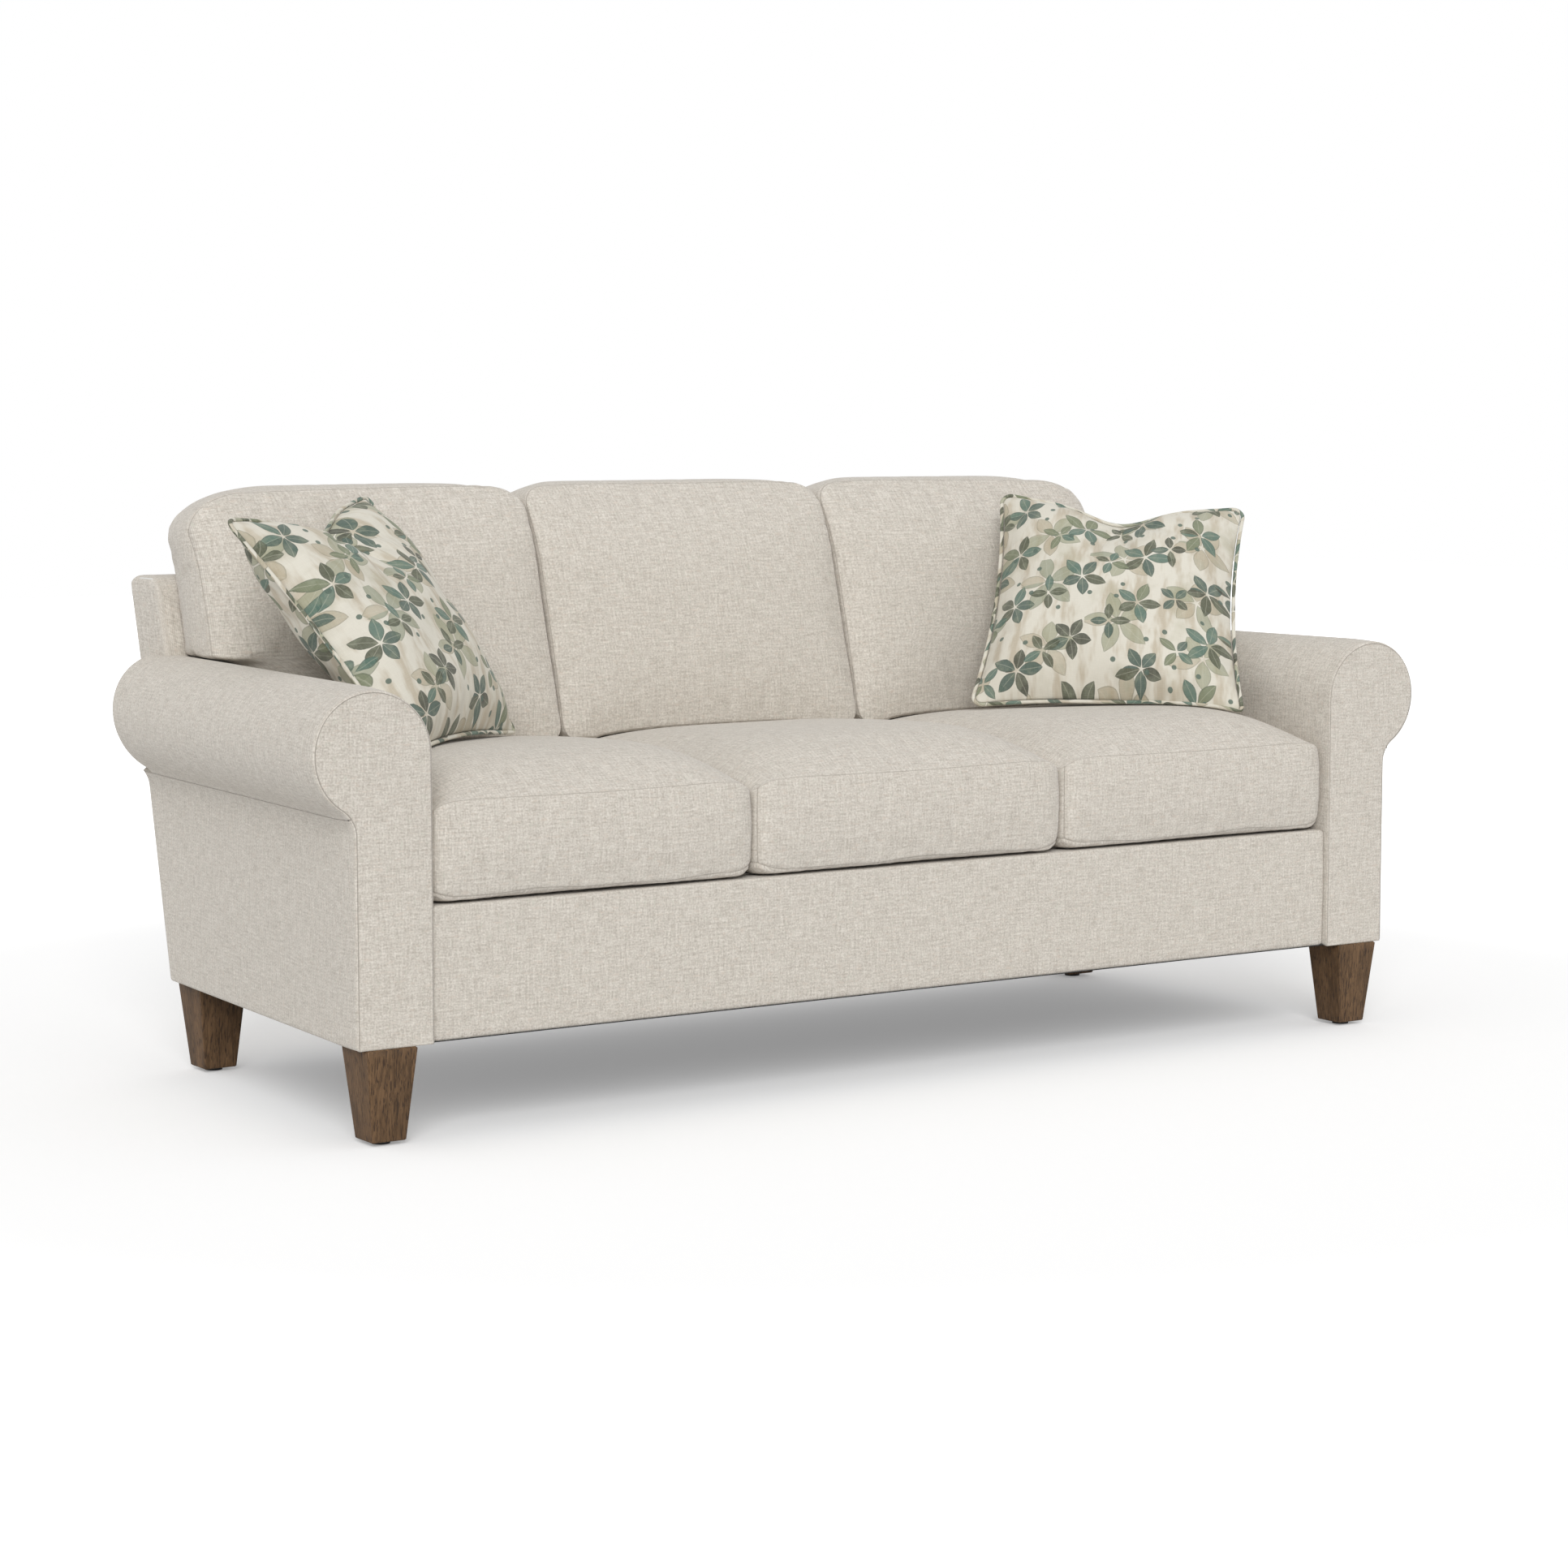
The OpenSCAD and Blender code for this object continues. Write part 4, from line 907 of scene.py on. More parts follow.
walnut = walnut_finish()
for node in ("leg_front_left", "leg_front_right", "leg_rear_left", "leg_rear_right"):
    leg = leg_mesh(node.replace("leg_", "") + "_leg", node)
    finished(leg, node, material=walnut)

# Seat cushions.
# Three loose boxed cushions of foam in a fibre wrap. The crown is highest near the front, the boxing has
# a seam up each front corner, and the sides are drawn in between the corners.

(_, seat_front, seat_base), (_, seat_rear, _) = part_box("seat_cushion_centre")
seat_boxing = 0.146
joint_half = 0.0006
side_gap = 0.0009
seat_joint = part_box("seat_cushion_centre")[1][0] + joint_half
seat_seam = seat_base + seat_boxing
seat_crown = 0.067
seat_power = 4.8
seat_fall_power = 0.38
seat_corner_r = 0.027
seat_draw = 0.004
seat_bow = 0.012
seat_apex = 0.10
foot_seam = 0.008
boxing_swell = 0.005
seat_corner_drop, seat_drop_reach = 0.013, 0.018
seat_corner_rise, seat_rise_reach = 0.010, 0.024
corner_start, corner_reach = 0.03, 0.06
seat_eased, seat_ease_reach = 0.003, 0.05
foot_reach = 0.018
foot_clear = 0.0002


def rounded_sides(corners, radii, draw):
    """Sides of a rounded outline, each from the middle of one corner to the middle of the next. Between
    the corners a side is drawn in by the draw times 4 t (1 - t)."""
    corners = np.array(corners, float)
    to_next = np.roll(corners, -1, 0) - corners
    to_last = np.roll(corners, 1, 0) - corners
    to_next /= np.linalg.norm(to_next, axis=1, keepdims=True)
    to_last /= np.linalg.norm(to_last, axis=1, keepdims=True)
    arcs = []
    for corner, ahead, behind, radius in zip(corners, to_next, to_last, radii):
        half = math.acos(ahead @ behind) / 2
        middle = corner + (ahead + behind) / np.linalg.norm(ahead + behind) * radius / math.sin(half)
        start = corner + behind * radius / math.tan(half) - middle
        stop = corner + ahead * radius / math.tan(half) - middle
        first = math.degrees(math.atan2(start[1], start[0]))
        turn = (math.degrees(math.atan2(stop[1], stop[0])) - first + 180) % 360 - 180
        arcs.append(arc_points(middle, radius, first, first + turn, 33))
    t = np.linspace(0, 1, 60)[1:-1, None]
    sides = []
    for arc, after in zip(arcs, arcs[1:] + arcs[:1]):
        along = after[0] - arc[-1]
        inward = np.array([-along[1], along[0]]) / np.linalg.norm(along)
        between = arc[-1] + along * t + inward * draw * 4 * t * (1 - t)
        sides.append(np.concatenate([arc[16:], between, after[:17]]))
    return sides


def quarter(distance, reach):
    """A quarter round: 0 at the edge and 1 from the reach inwards."""
    return np.sqrt(np.maximum(0, 1 - (1 - np.clip(distance / reach, 0, 1)) ** 2))


def dome(s, t, power=2.6):
    return (1 - np.minimum(1, np.abs(s)) ** power) * (1 - np.minimum(1, np.abs(t)) ** power)


def planned(sides, across, up):
    """A plan filled from four sides, its closed edge, and each point's distance from that edge."""
    plan = filled(sides[0], sides[1], sides[2][::-1], sides[3][::-1], across, up)
    shares = (across, up, 1 - across[::-1], 1 - up[::-1])
    edges = [resample(side, share) for side, share in zip(sides, shares)]
    loop = np.concatenate([edge[:-1] for edge in edges])
    return plan, loop, distance_to(plan.reshape(-1, 2), loop).reshape(plan.shape[:2])


def out_of(loop):
    """Unit normals of a closed plan loop: its tangents, turned outwards."""
    tangent = np.roll(loop, -1, 0) - np.roll(loop, 1, 0)
    tangent /= np.linalg.norm(tangent, axis=1, keepdims=True)
    return grid_of(tangent[:, 1], -tangent[:, 0])


under_place = 5
boxing_place = 9
settle_steps = 20


def boxed_form(sides, upper, lower, swell, split, rows=14, dense=None):
    """Panels of a boxed cushion in its own plan: a top and a bottom filled from four sides, and boxing
    between their edges that swells by 4 q (1 - q). upper and lower give heights from the plan and the
    distance from the edge. Returns the panels and the seams, as (plan, height) grids."""
    lengths = [running(side)[-1] for side in sides]
    across = graded(max(lengths[0], lengths[2]))
    up = graded(max(lengths[1], lengths[3]))
    if dense is not None:
        up = np.sort(np.concatenate([up[(up < dense[0]) | (up > dense[-1])], dense]))
    plan, loop, distance = planned(sides, across, up)
    panels = [(np.dstack([plan, upper(plan, distance)]), plan),
        (np.dstack([plan, lower(plan, distance)]), plan * (1, -1) + (under_place, 0))]
    outward = out_of(loop)
    top = upper(loop, np.zeros(len(loop)))
    foot = lower(loop, np.zeros(len(loop)))
    q = graded(float((top - foot).mean()), step=(top - foot).mean() / rows)
    around = np.arange(len(loop) + 1) % len(loop)
    spread = loop[around][None] + outward[around][None] * (swell * (4 * q * (1 - q)) ** 0.7)[:, None, None]
    height = foot[around][None] + q[:, None] * (top - foot)[around][None]
    boxing = np.dstack([spread, height])
    panels.append((boxing, grid_of(running(loop[around]) + boxing_place, height)))
    seams = [np.column_stack([loop, top]), np.column_stack([loop, foot])]
    if split:
        seams += [boxing[:, 0], boxing[:, len(across) - 1]]
    return panels, np.concatenate(seams)


def settle(piece, pressure, cap, slack):
    """Lets the cover fill out: cloth under pressure, held at its seams and cut a little slack. No point
    moves further than about the cap."""
    start = places_of(piece)
    pins = piece.vertex_groups.new(name="seams")
    pins.add(np.flatnonzero(seam_distance(piece) < 1e-4).tolist(), 1.0, "REPLACE")
    cloth = piece.modifiers.new("cloth", "CLOTH")
    for name, value in {"quality": 4, "mass": 0.3, "tension_stiffness": 15, "compression_stiffness": 15,
            "shear_stiffness": 5, "bending_stiffness": 0.6, "use_pressure": True,
            "uniform_pressure_force": pressure, "vertex_group_mass": "seams", "shrink_min": -slack}.items():
        setattr(cloth.settings, name, value)
    cloth.settings.effector_weights.gravity = 0
    cloth.point_cache.frame_start = 1
    cloth.point_cache.frame_end = settle_steps
    for step in range(1, settle_steps + 1):
        bpy.context.scene.frame_set(step)
    shaped = piece.evaluated_get(bpy.context.evaluated_depsgraph_get())
    moved = np.empty(start.size)
    shaped.data.vertices.foreach_get("co", moved)
    shift = moved.reshape(-1, 3) - start
    far = np.linalg.norm(shift, axis=1, keepdims=True) + 1e-9
    piece.modifiers.remove(cloth)
    piece.vertex_groups.remove(pins)
    bpy.context.scene.frame_set(1)
    move_to(piece, start + shift / far * cap * np.tanh(far / cap))


def press_seams(piece, depth=0.0011, swell=0.0004):
    """Sinks the seams into the cushion and lets the cloth beside them stand a little proud."""
    near = seam_distance(piece)
    lift = swell * np.exp(-((near - 0.006) / 0.004) ** 2) - depth * np.exp(-(near / 0.0016) ** 2)
    move_to(piece, places_of(piece) + places_of(piece, "normal") * lift[:, None])


def held_back(places, over, direction, soft=0.004):
    """Presses points that come within the soft distance of a surface flat against it. over is how far
    each one lies past the surface in the direction: past minus soft, it closes in as an exponential."""
    limit = np.where(over > -soft, -soft * np.exp(-(over + soft) / soft), over)
    return places + (limit - over)[:, None] * np.asarray(direction)


seat_half_d = (seat_rear - seat_front) / 2
seat_mid_y = (seat_rear + seat_front) / 2


def seat_height(s, y):
    """Top of a seat cushion, from the share of the way to its sides and the place from front to back: a
    full dome that falls off towards the back."""
    fall = np.clip((seat_rear - y) / (2 * seat_half_d - seat_apex), 0, 1) ** seat_fall_power
    return seat_seam + seat_crown * dome(s, (y - seat_mid_y) / seat_half_d, seat_power) * fall


def seat_cushion(name, left, right, seed):
    """left and right give the cushion's two ends across the sofa, at a place from front to back."""
    ends = [(left(seat_front), seat_front), (right(seat_front), seat_front),
        (right(seat_rear), seat_rear), (left(seat_rear), seat_rear)]
    sides = rounded_sides(ends, [seat_corner_r] * 4, seat_draw)

    def share(plan):
        return (2 * plan[..., 0] - left(plan[..., 1]) - right(plan[..., 1])) \
            / (right(plan[..., 1]) - left(plan[..., 1]))

    def bowed(side):
        front = np.maximum(0, (seat_mid_y - side[:, 1]) / seat_half_d) ** 6
        return side + grid_of(0, seat_bow * front * share(side) ** 2)

    def crown(plan):
        return seat_height(share(plan), plan[..., 1])

    def front_corner(plan, width):
        """1 at the two front corners, falling as a bell with the distance from a side and from the front."""
        beside = (1 - np.abs(share(plan)).clip(0, 1)) * (right(plan[..., 1]) - left(plan[..., 1])) / 2
        behind = np.maximum(0, plan[..., 1] - seat_front - corner_start)
        return np.exp(-(beside / width) ** 2 - (behind / corner_reach) ** 2)

    def upper(plan, distance):
        eased = seat_eased * quarter(distance, seat_ease_reach)
        return crown(plan) - eased - seat_corner_drop * front_corner(plan, seat_drop_reach)

    def lower(plan, distance):
        wave = 0.0020 * np.sin(plan[..., 0] * 17 + seed) + 0.0011 * np.sin(plan[..., 0] * 41 + 2 * seed)
        seam = foot_seam + wave + seat_corner_rise * front_corner(plan, seat_rise_reach)
        return seat_base + seam * (1 - quarter(distance, foot_reach))

    sides = [bowed(side) for side in sides]
    panels, seams = boxed_form(sides, upper, lower, boxing_swell, True)
    middle = np.array([(left(0) + right(0)) / 2, seat_mid_y, (seat_base + seat_seam) / 2])
    cushion = sew(name, panels, middle, seams)
    settle(cushion, pressure=4.0, cap=0.006, slack=0.008)
    press_seams(cushion)
    places = places_of(cushion)
    places = held_back(places, seat_base + foot_clear - places[:, 2], (0, 0, -1), soft=0.002)
    highest = np.maximum(crown(places[:, :2]), seat_seam)
    places = held_back(places, places[:, 2] - highest, (0, 0, 1), soft=0.003)
    places = held_back(places, places[:, 0] - right(places[:, 1]), (1, 0, 0))
    places = held_back(places, left(places[:, 1]) - places[:, 0], (-1, 0, 0))
    places = held_back(places, places[:, 1] - layer_y(places[:, 2], back_t) + back_clear, (0, 1, 0))
    move_to(cushion, places)
    return softened(cushion)


def half_joint(y):
    return seat_joint - joint_half + 0 * np.asarray(y)


def arm_side(y):
    return side_x(0, np.asarray(y)) - side_gap


centre_seat = seat_cushion("centre_seat_pad", lambda y: -half_joint(y), half_joint, 0.7)
right_seat = seat_cushion("right_seat_pad", lambda y: half_joint(y) + side_gap, arm_side, 2.4)
left_seat = softened(mirrored("left_seat_pad", right_seat))
for side, cushion in (("left", left_seat), ("centre", centre_seat), ("right", right_seat)):
    finished(cushion, f"seat_cushion_{side}", body=f"{side}_seat_cushion")

# Back cushions.
# Three boxed cushions of fibre that lean on the back. Each is thinner at the top, with rounded upper
# corners, and the outer two reach over the arm roll with an ear.

ear_lift = 0.0008
back_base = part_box("back_cushion_centre")[0][2]
back_high_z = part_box("back_cushion_centre")[1][2]
back_ear_flare = 0.022
back_end_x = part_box("back_cushion_right")[1][0] - back_ear_flare
ear_z = arm_top + ear_lift
dense_z = (ear_z - 0.052, ear_z + 0.014)
back_side_x = side_x(0, layer_y(arm_top, back_t)) - side_gap
back_cushion_t = 0.166
back_crown = 0.024
back_corner_r = 0.046
back_ear_r = 0.068
back_foot_r = 0.023
back_draw = 0.003
back_round = 0.006
back_round_reach, back_rear_reach = 0.022, 0.012
back_swell = 0.004
back_face_gap = 0.0003
back_high_gap = 0.001
back_top_fall = 0.034
ear_gap = 0.0014
foot_drop = 0.016
foot_fade = 0.09
seat_clear = 0.0012
ear_soft = 0.040
ear_soft_reach = 0.060
rear_fall = 0.034
rear_fall_reach = 0.080
rear_fall_at_ear = 0.75
ear_fall = 0.008
ear_fall_reach = 0.22


def back_depth(z):
    """Thickness of a back cushion at its seam, which falls with the square of the height over the back."""
    return back_cushion_t - back_top_fall * np.maximum(0, (z - back_top) / (back_high_z - back_top)) ** 2


def roll_reach(z):
    """How far over the arm an ear may lie at a height: along the roll, a little clear of it."""
    rise = np.clip(z - roll_z - ear_gap, 0, roll_r)
    return roll_r - np.sqrt(roll_r ** 2 - rise ** 2) - ear_gap


def back_cushion(name, left, right, ear, radii, seed):
    """The plan of the form is X and Z, and its height is the distance in front of the leaning back. Beside
    the roll the plan follows it, and above the roll the ear stretches it to its end. The foot settles on
    the seat cushion where that falls off to its joint."""
    sides = rounded_sides([(left, back_base), (right, back_base), (right, back_high_z), (left, back_high_z)],
        radii, back_draw)
    height = back_high_z - back_base
    dense = (np.linspace(*dense_z, 18) - back_base) / height if ear else None

    def share(plan):
        return (2 * plan[..., 0] - left - right) / (right - left), \
            (2 * plan[..., 1] - back_base - back_high_z) / height

    def upper(plan, distance):
        crown = (back_crown - back_round) * dome(*share(plan))
        edge = back_round * quarter(distance, back_round_reach)
        soft = ear_soft * (1 - quarter(right - plan[..., 0], ear_soft_reach)) if ear else 0
        return back_depth(plan[..., 1]) + crown + edge - soft

    def lower(plan, distance):
        return joint_half + back_round * (1 - quarter(distance, back_rear_reach))

    panels, seams = boxed_form(sides, upper, lower, back_swell, False, dense=dense)

    def stand(form):
        x, z, depth = form[..., 0], form[..., 1], form[..., 2]
        over = np.clip((z - ear_z + 0.003) / 0.005, 0, 1)
        reach = np.maximum(np.clip(roll_reach(z), 0, ear), over * over * (3 - 2 * over) * ear)
        x = x + reach * np.clip((x - left) / (right - left), 0, 1)
        outward = np.maximum(x - right, 0) / ear if ear else 0
        x = x + back_ear_flare * np.clip(depth / back_depth(z), 0, 1) * over * outward
        y = layer_y(z, back_t) - back_face_gap - depth
        beside = np.minimum(form[..., 0] - left, right - form[..., 0])
        free = np.clip((z - back_top) / (back_high_z - back_top), 0, 1)
        behind = np.clip(1.2 - depth / 0.13, 0, 1)
        fall = rear_fall * behind * np.exp(-(beside / rear_fall_reach) ** 2)
        if ear:
            fall = np.where(x > (left + right) / 2, rear_fall_at_ear * fall, fall)
            fall = fall + ear_fall * np.exp(-((right + ear - x) / ear_fall_reach) ** 2)
        z = z - fall * free
        joint = seat_joint * np.sign((left + right) / 2) if left * right > 0 else None
        end_x = side_x(0, y)
        s = x / seat_joint if joint is None else (2 * x - seat_joint - end_x) / (end_x - seat_joint)
        rest = seat_height(np.clip(s, -1, 1), np.maximum(y, 0.05)) + seat_clear
        drop = np.clip(back_base - rest, 0, foot_drop) * np.clip(1 - (z - back_base) / foot_fade, 0, 1) ** 2
        return grid_of(x, y, z - drop)

    panels = [(stand(form), flat) for form, flat in panels]
    middle = stand(np.array([(left + right) / 2, (back_base + back_high_z) / 2, 0.08]))
    cushion = sew(name, panels, middle, stand(seams))
    settle(cushion, pressure=4.0, cap=0.009, slack=0.010)
    press_seams(cushion)
    places = places_of(cushion)
    places = held_back(places, places[:, 1] - layer_y(places[:, 2], back_t) + back_clear, (0, 1, 0))
    places = held_back(places, left - places[:, 0], (-1, 0, 0))
    end = right + (np.clip(roll_reach(places[:, 2]), 0, ear) if ear else 0)
    beside = held_back(places, places[:, 0] - end, (1, 0, 0))
    places = np.where(((places[:, 2] < ear_z) | (ear == 0))[:, None], beside, places)
    places = held_back(places, places[:, 2] - back_high_z - back_high_gap, (0, 0, 1), soft=0.003)
    move_to(cushion, places)
    return softened(cushion)


centre_back = back_cushion("centre_back_pad", -half_joint(0), half_joint(0), 0.0,
    [back_foot_r, back_foot_r, back_corner_r, back_corner_r], 0.3)
right_back = back_cushion("right_back_pad", half_joint(0) + side_gap, back_side_x, back_end_x - back_side_x,
    [back_foot_r, back_foot_r, back_ear_r, back_corner_r], 1.9)
left_back = softened(mirrored("left_back_pad", right_back))
for side, cushion in (("left", left_back), ("centre", centre_back), ("right", right_back)):
    finished(cushion, f"back_cushion_{side}")

# Throw pillows.
# Two square feather pillows in a printed linen, each with corded piping of the same cloth in its edge
# seam. They lean in the corners, with a dent pressed into the top edge.

pillow_w = 0.450
pillow_t = 0.150
pillow_draw = 0.016
pillow_corner = 0.014
pillow_dent = 0.046
dent_share = 0.34
cord_r = 0.0035
cord_gap = 0.0002
pillow_step = 0.007
bulge_power = 0.6
hollow_y, hollow_size = 0.155, (0.050, 0.080)
face_hollow, back_hollow = 0.40, 0.30
edge_reach = 0.05
back_flat = (1.3, 0.4)
fold_y = 0.165
pillow_folds = ((-1.15, 0.16, 0.010, 0.16), (-0.35, 0.10, 0.007, 0.12), (0.25, 0.12, 0.008, 0.14),
    (1.2, 0.17, 0.010, 0.15), (0.75, 0.10, 0.004, 0.17))


def pillow_edge(grow):
    """The four sides of a pillow in its own plane, with the dent pressed into its top side."""
    h = pillow_w / 2 + grow
    sides = rounded_sides([(-h, -h), (h, -h), (h, h), (-h, h)], [pillow_corner + grow] * 4, pillow_draw)
    return [side - grid_of(0, pillow_dent * np.exp(-(side[:, 0] / (h * dent_share)) ** 2)
        * np.clip(side[:, 1] / h, 0, 1) ** 3) for side in sides]


def pulled(form, corners):
    """Moves a pillow's form by the corners' own shifts along its width, height and front: bottom left,
    bottom right, top right and top left, blended evenly between them."""
    s = (form[..., :1] / pillow_w + 0.5).clip(0, 1)
    t = (form[..., 1:2] / pillow_w + 0.5).clip(0, 1)
    low_left, low_right, high_right, high_left = np.array(corners)
    return form + (1 - t) * ((1 - s) * low_left + s * low_right) + t * ((1 - s) * high_left + s * high_right)


def throw_pillow(name, side, body, yaw, tilt, corners, seed, material):
    """Two panels joined at the piped edge. Their distance is a dome to the power 0.6, hollowed below the
    dent. Yaw turns the pillow about the upright, and tilt leans it back."""
    low, high = (np.array(corner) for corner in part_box(f"pillow_piping_{side}"))
    middle = (low + high) / 2
    yaw, tilt = math.radians(yaw), math.radians(tilt)
    wide = np.array([math.cos(yaw), math.sin(yaw), 0])
    front = np.array([math.sin(yaw) * math.cos(tilt), -math.cos(yaw) * math.cos(tilt), math.sin(tilt)])
    tall = np.array([-math.sin(yaw) * math.sin(tilt), math.cos(yaw) * math.sin(tilt), math.cos(tilt)])

    def stand(form):
        form = pulled(form, corners)
        return middle + form[..., :1] * wide + form[..., 1:2] * tall + form[..., 2:] * front

    def off_the_seat(places, clear):
        x, y = np.abs(places[..., 0]), places[..., 1]
        share = (2 * x - seat_joint - side_x(0, y)) / (side_x(0, y) - seat_joint)
        seat = seat_height(share.clip(-1, 1), y) + clear
        return held_back(places, seat - places[..., 2], (0, 0, -1), soft=0.003)

    sides = pillow_edge(0)
    across, up = (graded(running(side)[-1], step=pillow_step) for side in sides[:2])
    plan, loop, distance = planned(sides, across, up)
    x, y = plan[..., 0], plan[..., 1]
    bulge = pillow_t / 2 * dome(2 * across[None] - 1, 2 * up[:, None] - 1) ** bulge_power
    hollow_below = np.exp(-(x / hollow_size[0]) ** 2 - ((y - hollow_y) / hollow_size[1]) ** 2)
    away = np.hypot(x, y - fold_y)
    turn = np.arctan2(x, fold_y - y)
    folds = np.zeros_like(x)
    for angle, width, depth, reach in pillow_folds:
        folds += depth * np.exp(-((turn - angle) / width) ** 2 - ((away - 0.05) / (0.55 * reach)) ** 2)
    wave = 0.0030 * np.sin(x * 31 + y * 17 + seed) + 0.0022 * np.sin(y * 43 - x * 22 + 2 * seed)
    soft = np.clip(distance / edge_reach, 0, 1)
    face = bulge * (1 - face_hollow * hollow_below) + (wave - folds) * soft
    back = -(bulge * (1 - back_hollow * hollow_below)) + wave * soft
    seam_form = np.column_stack([loop, 0 * loop[:, 0]])
    pillow = sew(name, [(stand(np.dstack([plan, face])), plan),
        (stand(np.dstack([plan, back])), plan + back_flat)], middle, stand(seam_form))
    settle(pillow, pressure=2.5, cap=0.007, slack=0.02)
    move_to(pillow, off_the_seat(places_of(pillow), seat_clear))
    finished(softened(pillow), f"throw_pillow_{side}", body, material)

    cord_sides = pillow_edge(cord_r + cord_gap)
    cord_loop = np.concatenate([resample(one, np.linspace(0, 1, 90))[:-1] for one in cord_sides])
    turn = np.linspace(0, 2 * math.pi, 11)
    ring = cord_loop[:, None] + out_of(cord_loop)[:, None] * (cord_r * np.cos(turn))[None, :, None]
    tube = np.dstack([ring, np.broadcast_to(cord_r * np.sin(turn), ring.shape[:2])])
    tube = stand(np.concatenate([tube, tube[:1]]))
    core = tube[:, :-1].mean(1, keepdims=True)
    tube = tube + off_the_seat(core.reshape(-1, 3), cord_r + 0.001).reshape(core.shape) - core
    bias = grid_of(running(tube[:, 0])[:, None] + turn * cord_r, turn * cord_r * 1.5 + 0.3)
    cord = sew(name.replace("pillow", "piping"), [(tube, bias)], middle, middle[None] + 1)
    flip_if_inside_out(cord)
    finished(cord, f"pillow_piping_{side}", body, material)


def flip_if_inside_out(piece):
    """Turns a closed mesh's faces outwards."""
    shape = bmesh.new()
    shape.from_mesh(piece.data)
    bmesh.ops.recalc_face_normals(shape, faces=shape.faces)
    shape.to_mesh(piece.data)
    shape.free()


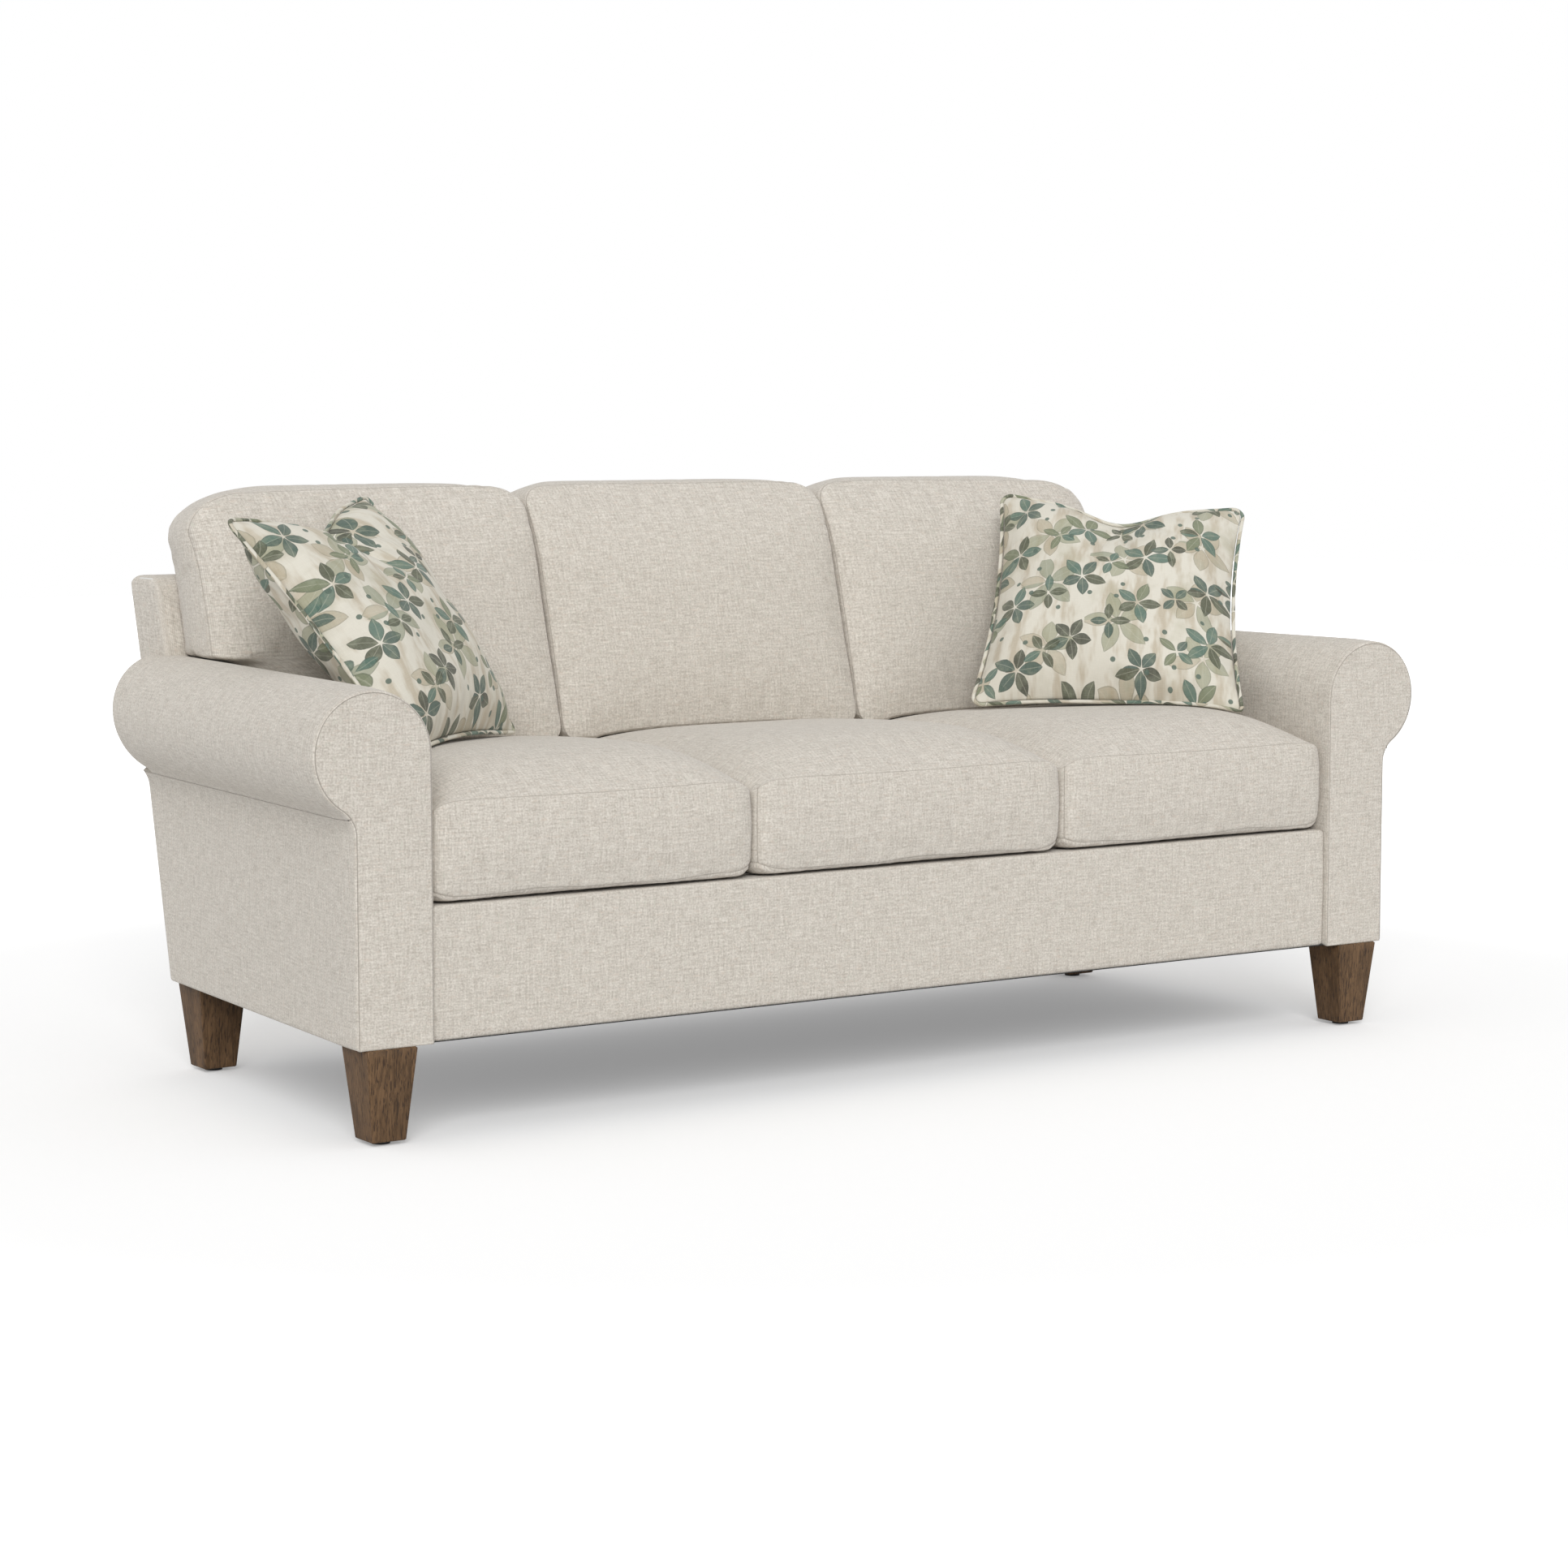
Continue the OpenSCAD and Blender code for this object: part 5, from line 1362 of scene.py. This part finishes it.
def printed_finish():
    """Off-white linen with beige washes and a scatter of small blossoms in water colours. Blossoms stand on
    lattices with half a step between columns. Each cell has its own turn, size and colour, each petal is a
    lens that darkens to its rim, and small round buds fill the gaps."""
    cloth = Finish(bpy.data.materials.new("printed_linen"))
    motif_scale = 1.3
    place = cloth.node("ShaderNodeUVMap", {"uv_map": "cloth"})
    across, up, _ = cloth.split(place)
    wet = cloth.noise(place, 45.0, 4.0, 0.6)
    wash = cloth.noise(place, 11.0, 3.0, 0.55)
    brush = cloth.noise(cloth.vector(across * 30.0, up * 9.0), 1.0, 3.0, 0.6)
    colour = cloth.mix(brush.ramp(0.46, 0.64) * 0.75, (0.69, 0.66, 0.575), (0.46, 0.39, 0.285))
    colour = cloth.mix(wash.ramp(0.52, 0.70) * 0.5, colour, (0.41, 0.385, 0.27))

    def cell(width, height, shift_x, shift_y):
        """Local place in a cell of the lattice, and three random numbers of that cell."""
        u = across / (width * motif_scale) + shift_x
        column = u.math("FLOOR")
        v = up / (height * motif_scale) + shift_y + column.math("MODULO", 2.0) * 0.5
        row = v.math("FLOOR")
        luck = cloth.node("ShaderNodeTexWhiteNoise", {"noise_dimensions": "3D"},
            (cloth.vector(column, row, shift_x * 7 + 1),), output="Color")
        return (u - column - 0.5) * width, (v - row - 0.5) * height, cloth.split(luck), column, row

    def petals(width, height, shift, reach, slim, count):
        """Mask of a blossom, its rim, and a random number for each petal."""
        x, y, luck, column, row = cell(width, height, *shift)
        x = x - (luck[0] - 0.5) * (width * 0.22) + (wet - 0.5) * 0.003
        y = y - (luck[1] - 0.5) * (height * 0.22) + (wet - 0.5) * 0.003
        sector = 2 * math.pi / count
        angle = y.math("ARCTAN2", x) + luck[2] * 6.28
        index = (angle / sector).math("FLOOR")
        local = (angle / sector - index - 0.5) * sector
        away = (x * x + y * y).math("SQRT")
        along = away * local.math("COSINE")
        beside = (away * local.math("SINE")).math("ABSOLUTE")
        petal_luck = cloth.node("ShaderNodeTexWhiteNoise", {"noise_dimensions": "3D"},
            (cloth.vector(column * 3.0 + index, row, shift[0] * 5 + 2),))
        longness = reach * (0.72 + petal_luck * 0.28)
        t = along / longness * 2 - 1.12
        width_here = (1 - t * t) * slim
        inside = width_here - beside
        mask = inside.ramp(0.0, 0.0006)
        rim = mask * (1 - inside.ramp(0.0004, 0.0022))
        vein = mask * (1 - beside.ramp(0.0001, 0.0007))
        return mask, rim, vein, petal_luck, luck

    def paint(colour, shape, stops, strength, presence):
        """Lays a blossom over the colour, with each petal's own tone, a wet mottle and a darker rim."""
        mask, rim, vein, petal_luck, luck = shape
        tint = cloth.node("ShaderNodeValToRGB", {"stops": stops}, (luck[1] * 0.55 + petal_luck * 0.45,))
        tint = cloth.mix(wet.ramp(0.46, 0.64) * 0.34, tint, (0.26, 0.29, 0.20))
        tint = cloth.mix(rim * 0.5, tint, (0.030, 0.045, 0.035))
        tint = cloth.mix(vein * 0.3, tint, (0.55, 0.55, 0.44))
        shown = luck[0].ramp(presence, presence + 0.001)
        return cloth.mix(mask * strength * shown, colour, tint)

    ghost = ((0.0, (0.42, 0.36, 0.25)), (0.3, (0.30, 0.31, 0.20)), (0.55, (0.47, 0.41, 0.30)),
        (0.8, (0.24, 0.27, 0.18)))
    deep = ((0.0, (0.030, 0.038, 0.022)), (0.25, (0.035, 0.085, 0.070)), (0.42, (0.055, 0.068, 0.036)),
        (0.58, (0.068, 0.145, 0.115)), (0.75, (0.155, 0.185, 0.105)))
    for shape, stops, strength, presence in (
            ((0.101, 0.097, (0.31, 0.17), 0.048, 0.0110, 5), ghost, 0.72, 0.0),
            ((0.083, 0.087, (0.0, 0.0), 0.037, 0.0082, 5), deep, 0.92, 0.0),
            ((0.083, 0.087, (0.5, 0.25), 0.028, 0.0062, 4), deep, 0.9, 0.2)):
        colour = paint(colour, petals(*shape), stops, strength, presence)
    bud_x, bud_y, bud_luck, _, _ = cell(0.037, 0.039, 0.25, 0.5)
    bud_x = bud_x - (bud_luck[0] - 0.5) * 0.02
    bud_y = bud_y - (bud_luck[1] - 0.5) * 0.02
    bud = 1 - ((bud_x * bud_x + bud_y * bud_y).math("SQRT") + (wet - 0.5) * 0.002).ramp(0.0030, 0.0036)
    colour = cloth.mix(bud * bud_luck[2].ramp(0.45, 0.46) * 0.9, colour, (0.07, 0.12, 0.095))

    warp = cloth.noise(cloth.vector(across * 1400.0, up * 60.0), 1.0, 2.0, 0.6)
    weft = cloth.noise(cloth.vector(across * 60.0, up * 1400.0, 3.0), 1.0, 2.0, 0.6)
    yarn = (warp * 0.5 + weft * 0.5).ramp(0.35, 0.65, False)
    colour = cloth.mix(yarn * 0.10, colour, (0.80, 0.78, 0.70))
    colour = cloth.mix((1 - yarn) * 0.10, colour, (0.20, 0.17, 0.13))
    return cloth.surface(Base_Color=colour, Roughness=0.9, Specular_IOR_Level=0.15, Sheen_Weight=0.15,
        Normal=cloth.bump(warp + weft, 0.0002, 0.6))


printed_linen = printed_finish()
left_corners = ((0, 0.015, -0.025), (-0.010, 0, -0.010), (0, 0, 0), (-0.022, 0.006, -0.050))
right_corners = ((-0.006, 0, 0), (0.006, -0.014, 0), (-0.012, -0.028, -0.008), (0.012, -0.004, 0))
throw_pillow("left_pillow", "left", "left_throw_pillow", 41.8, 35.2, left_corners, 0.4, printed_linen)
throw_pillow("right_pillow", "right", "right_throw_pillow", -44.1, 37.9, right_corners, 2.9, printed_linen)
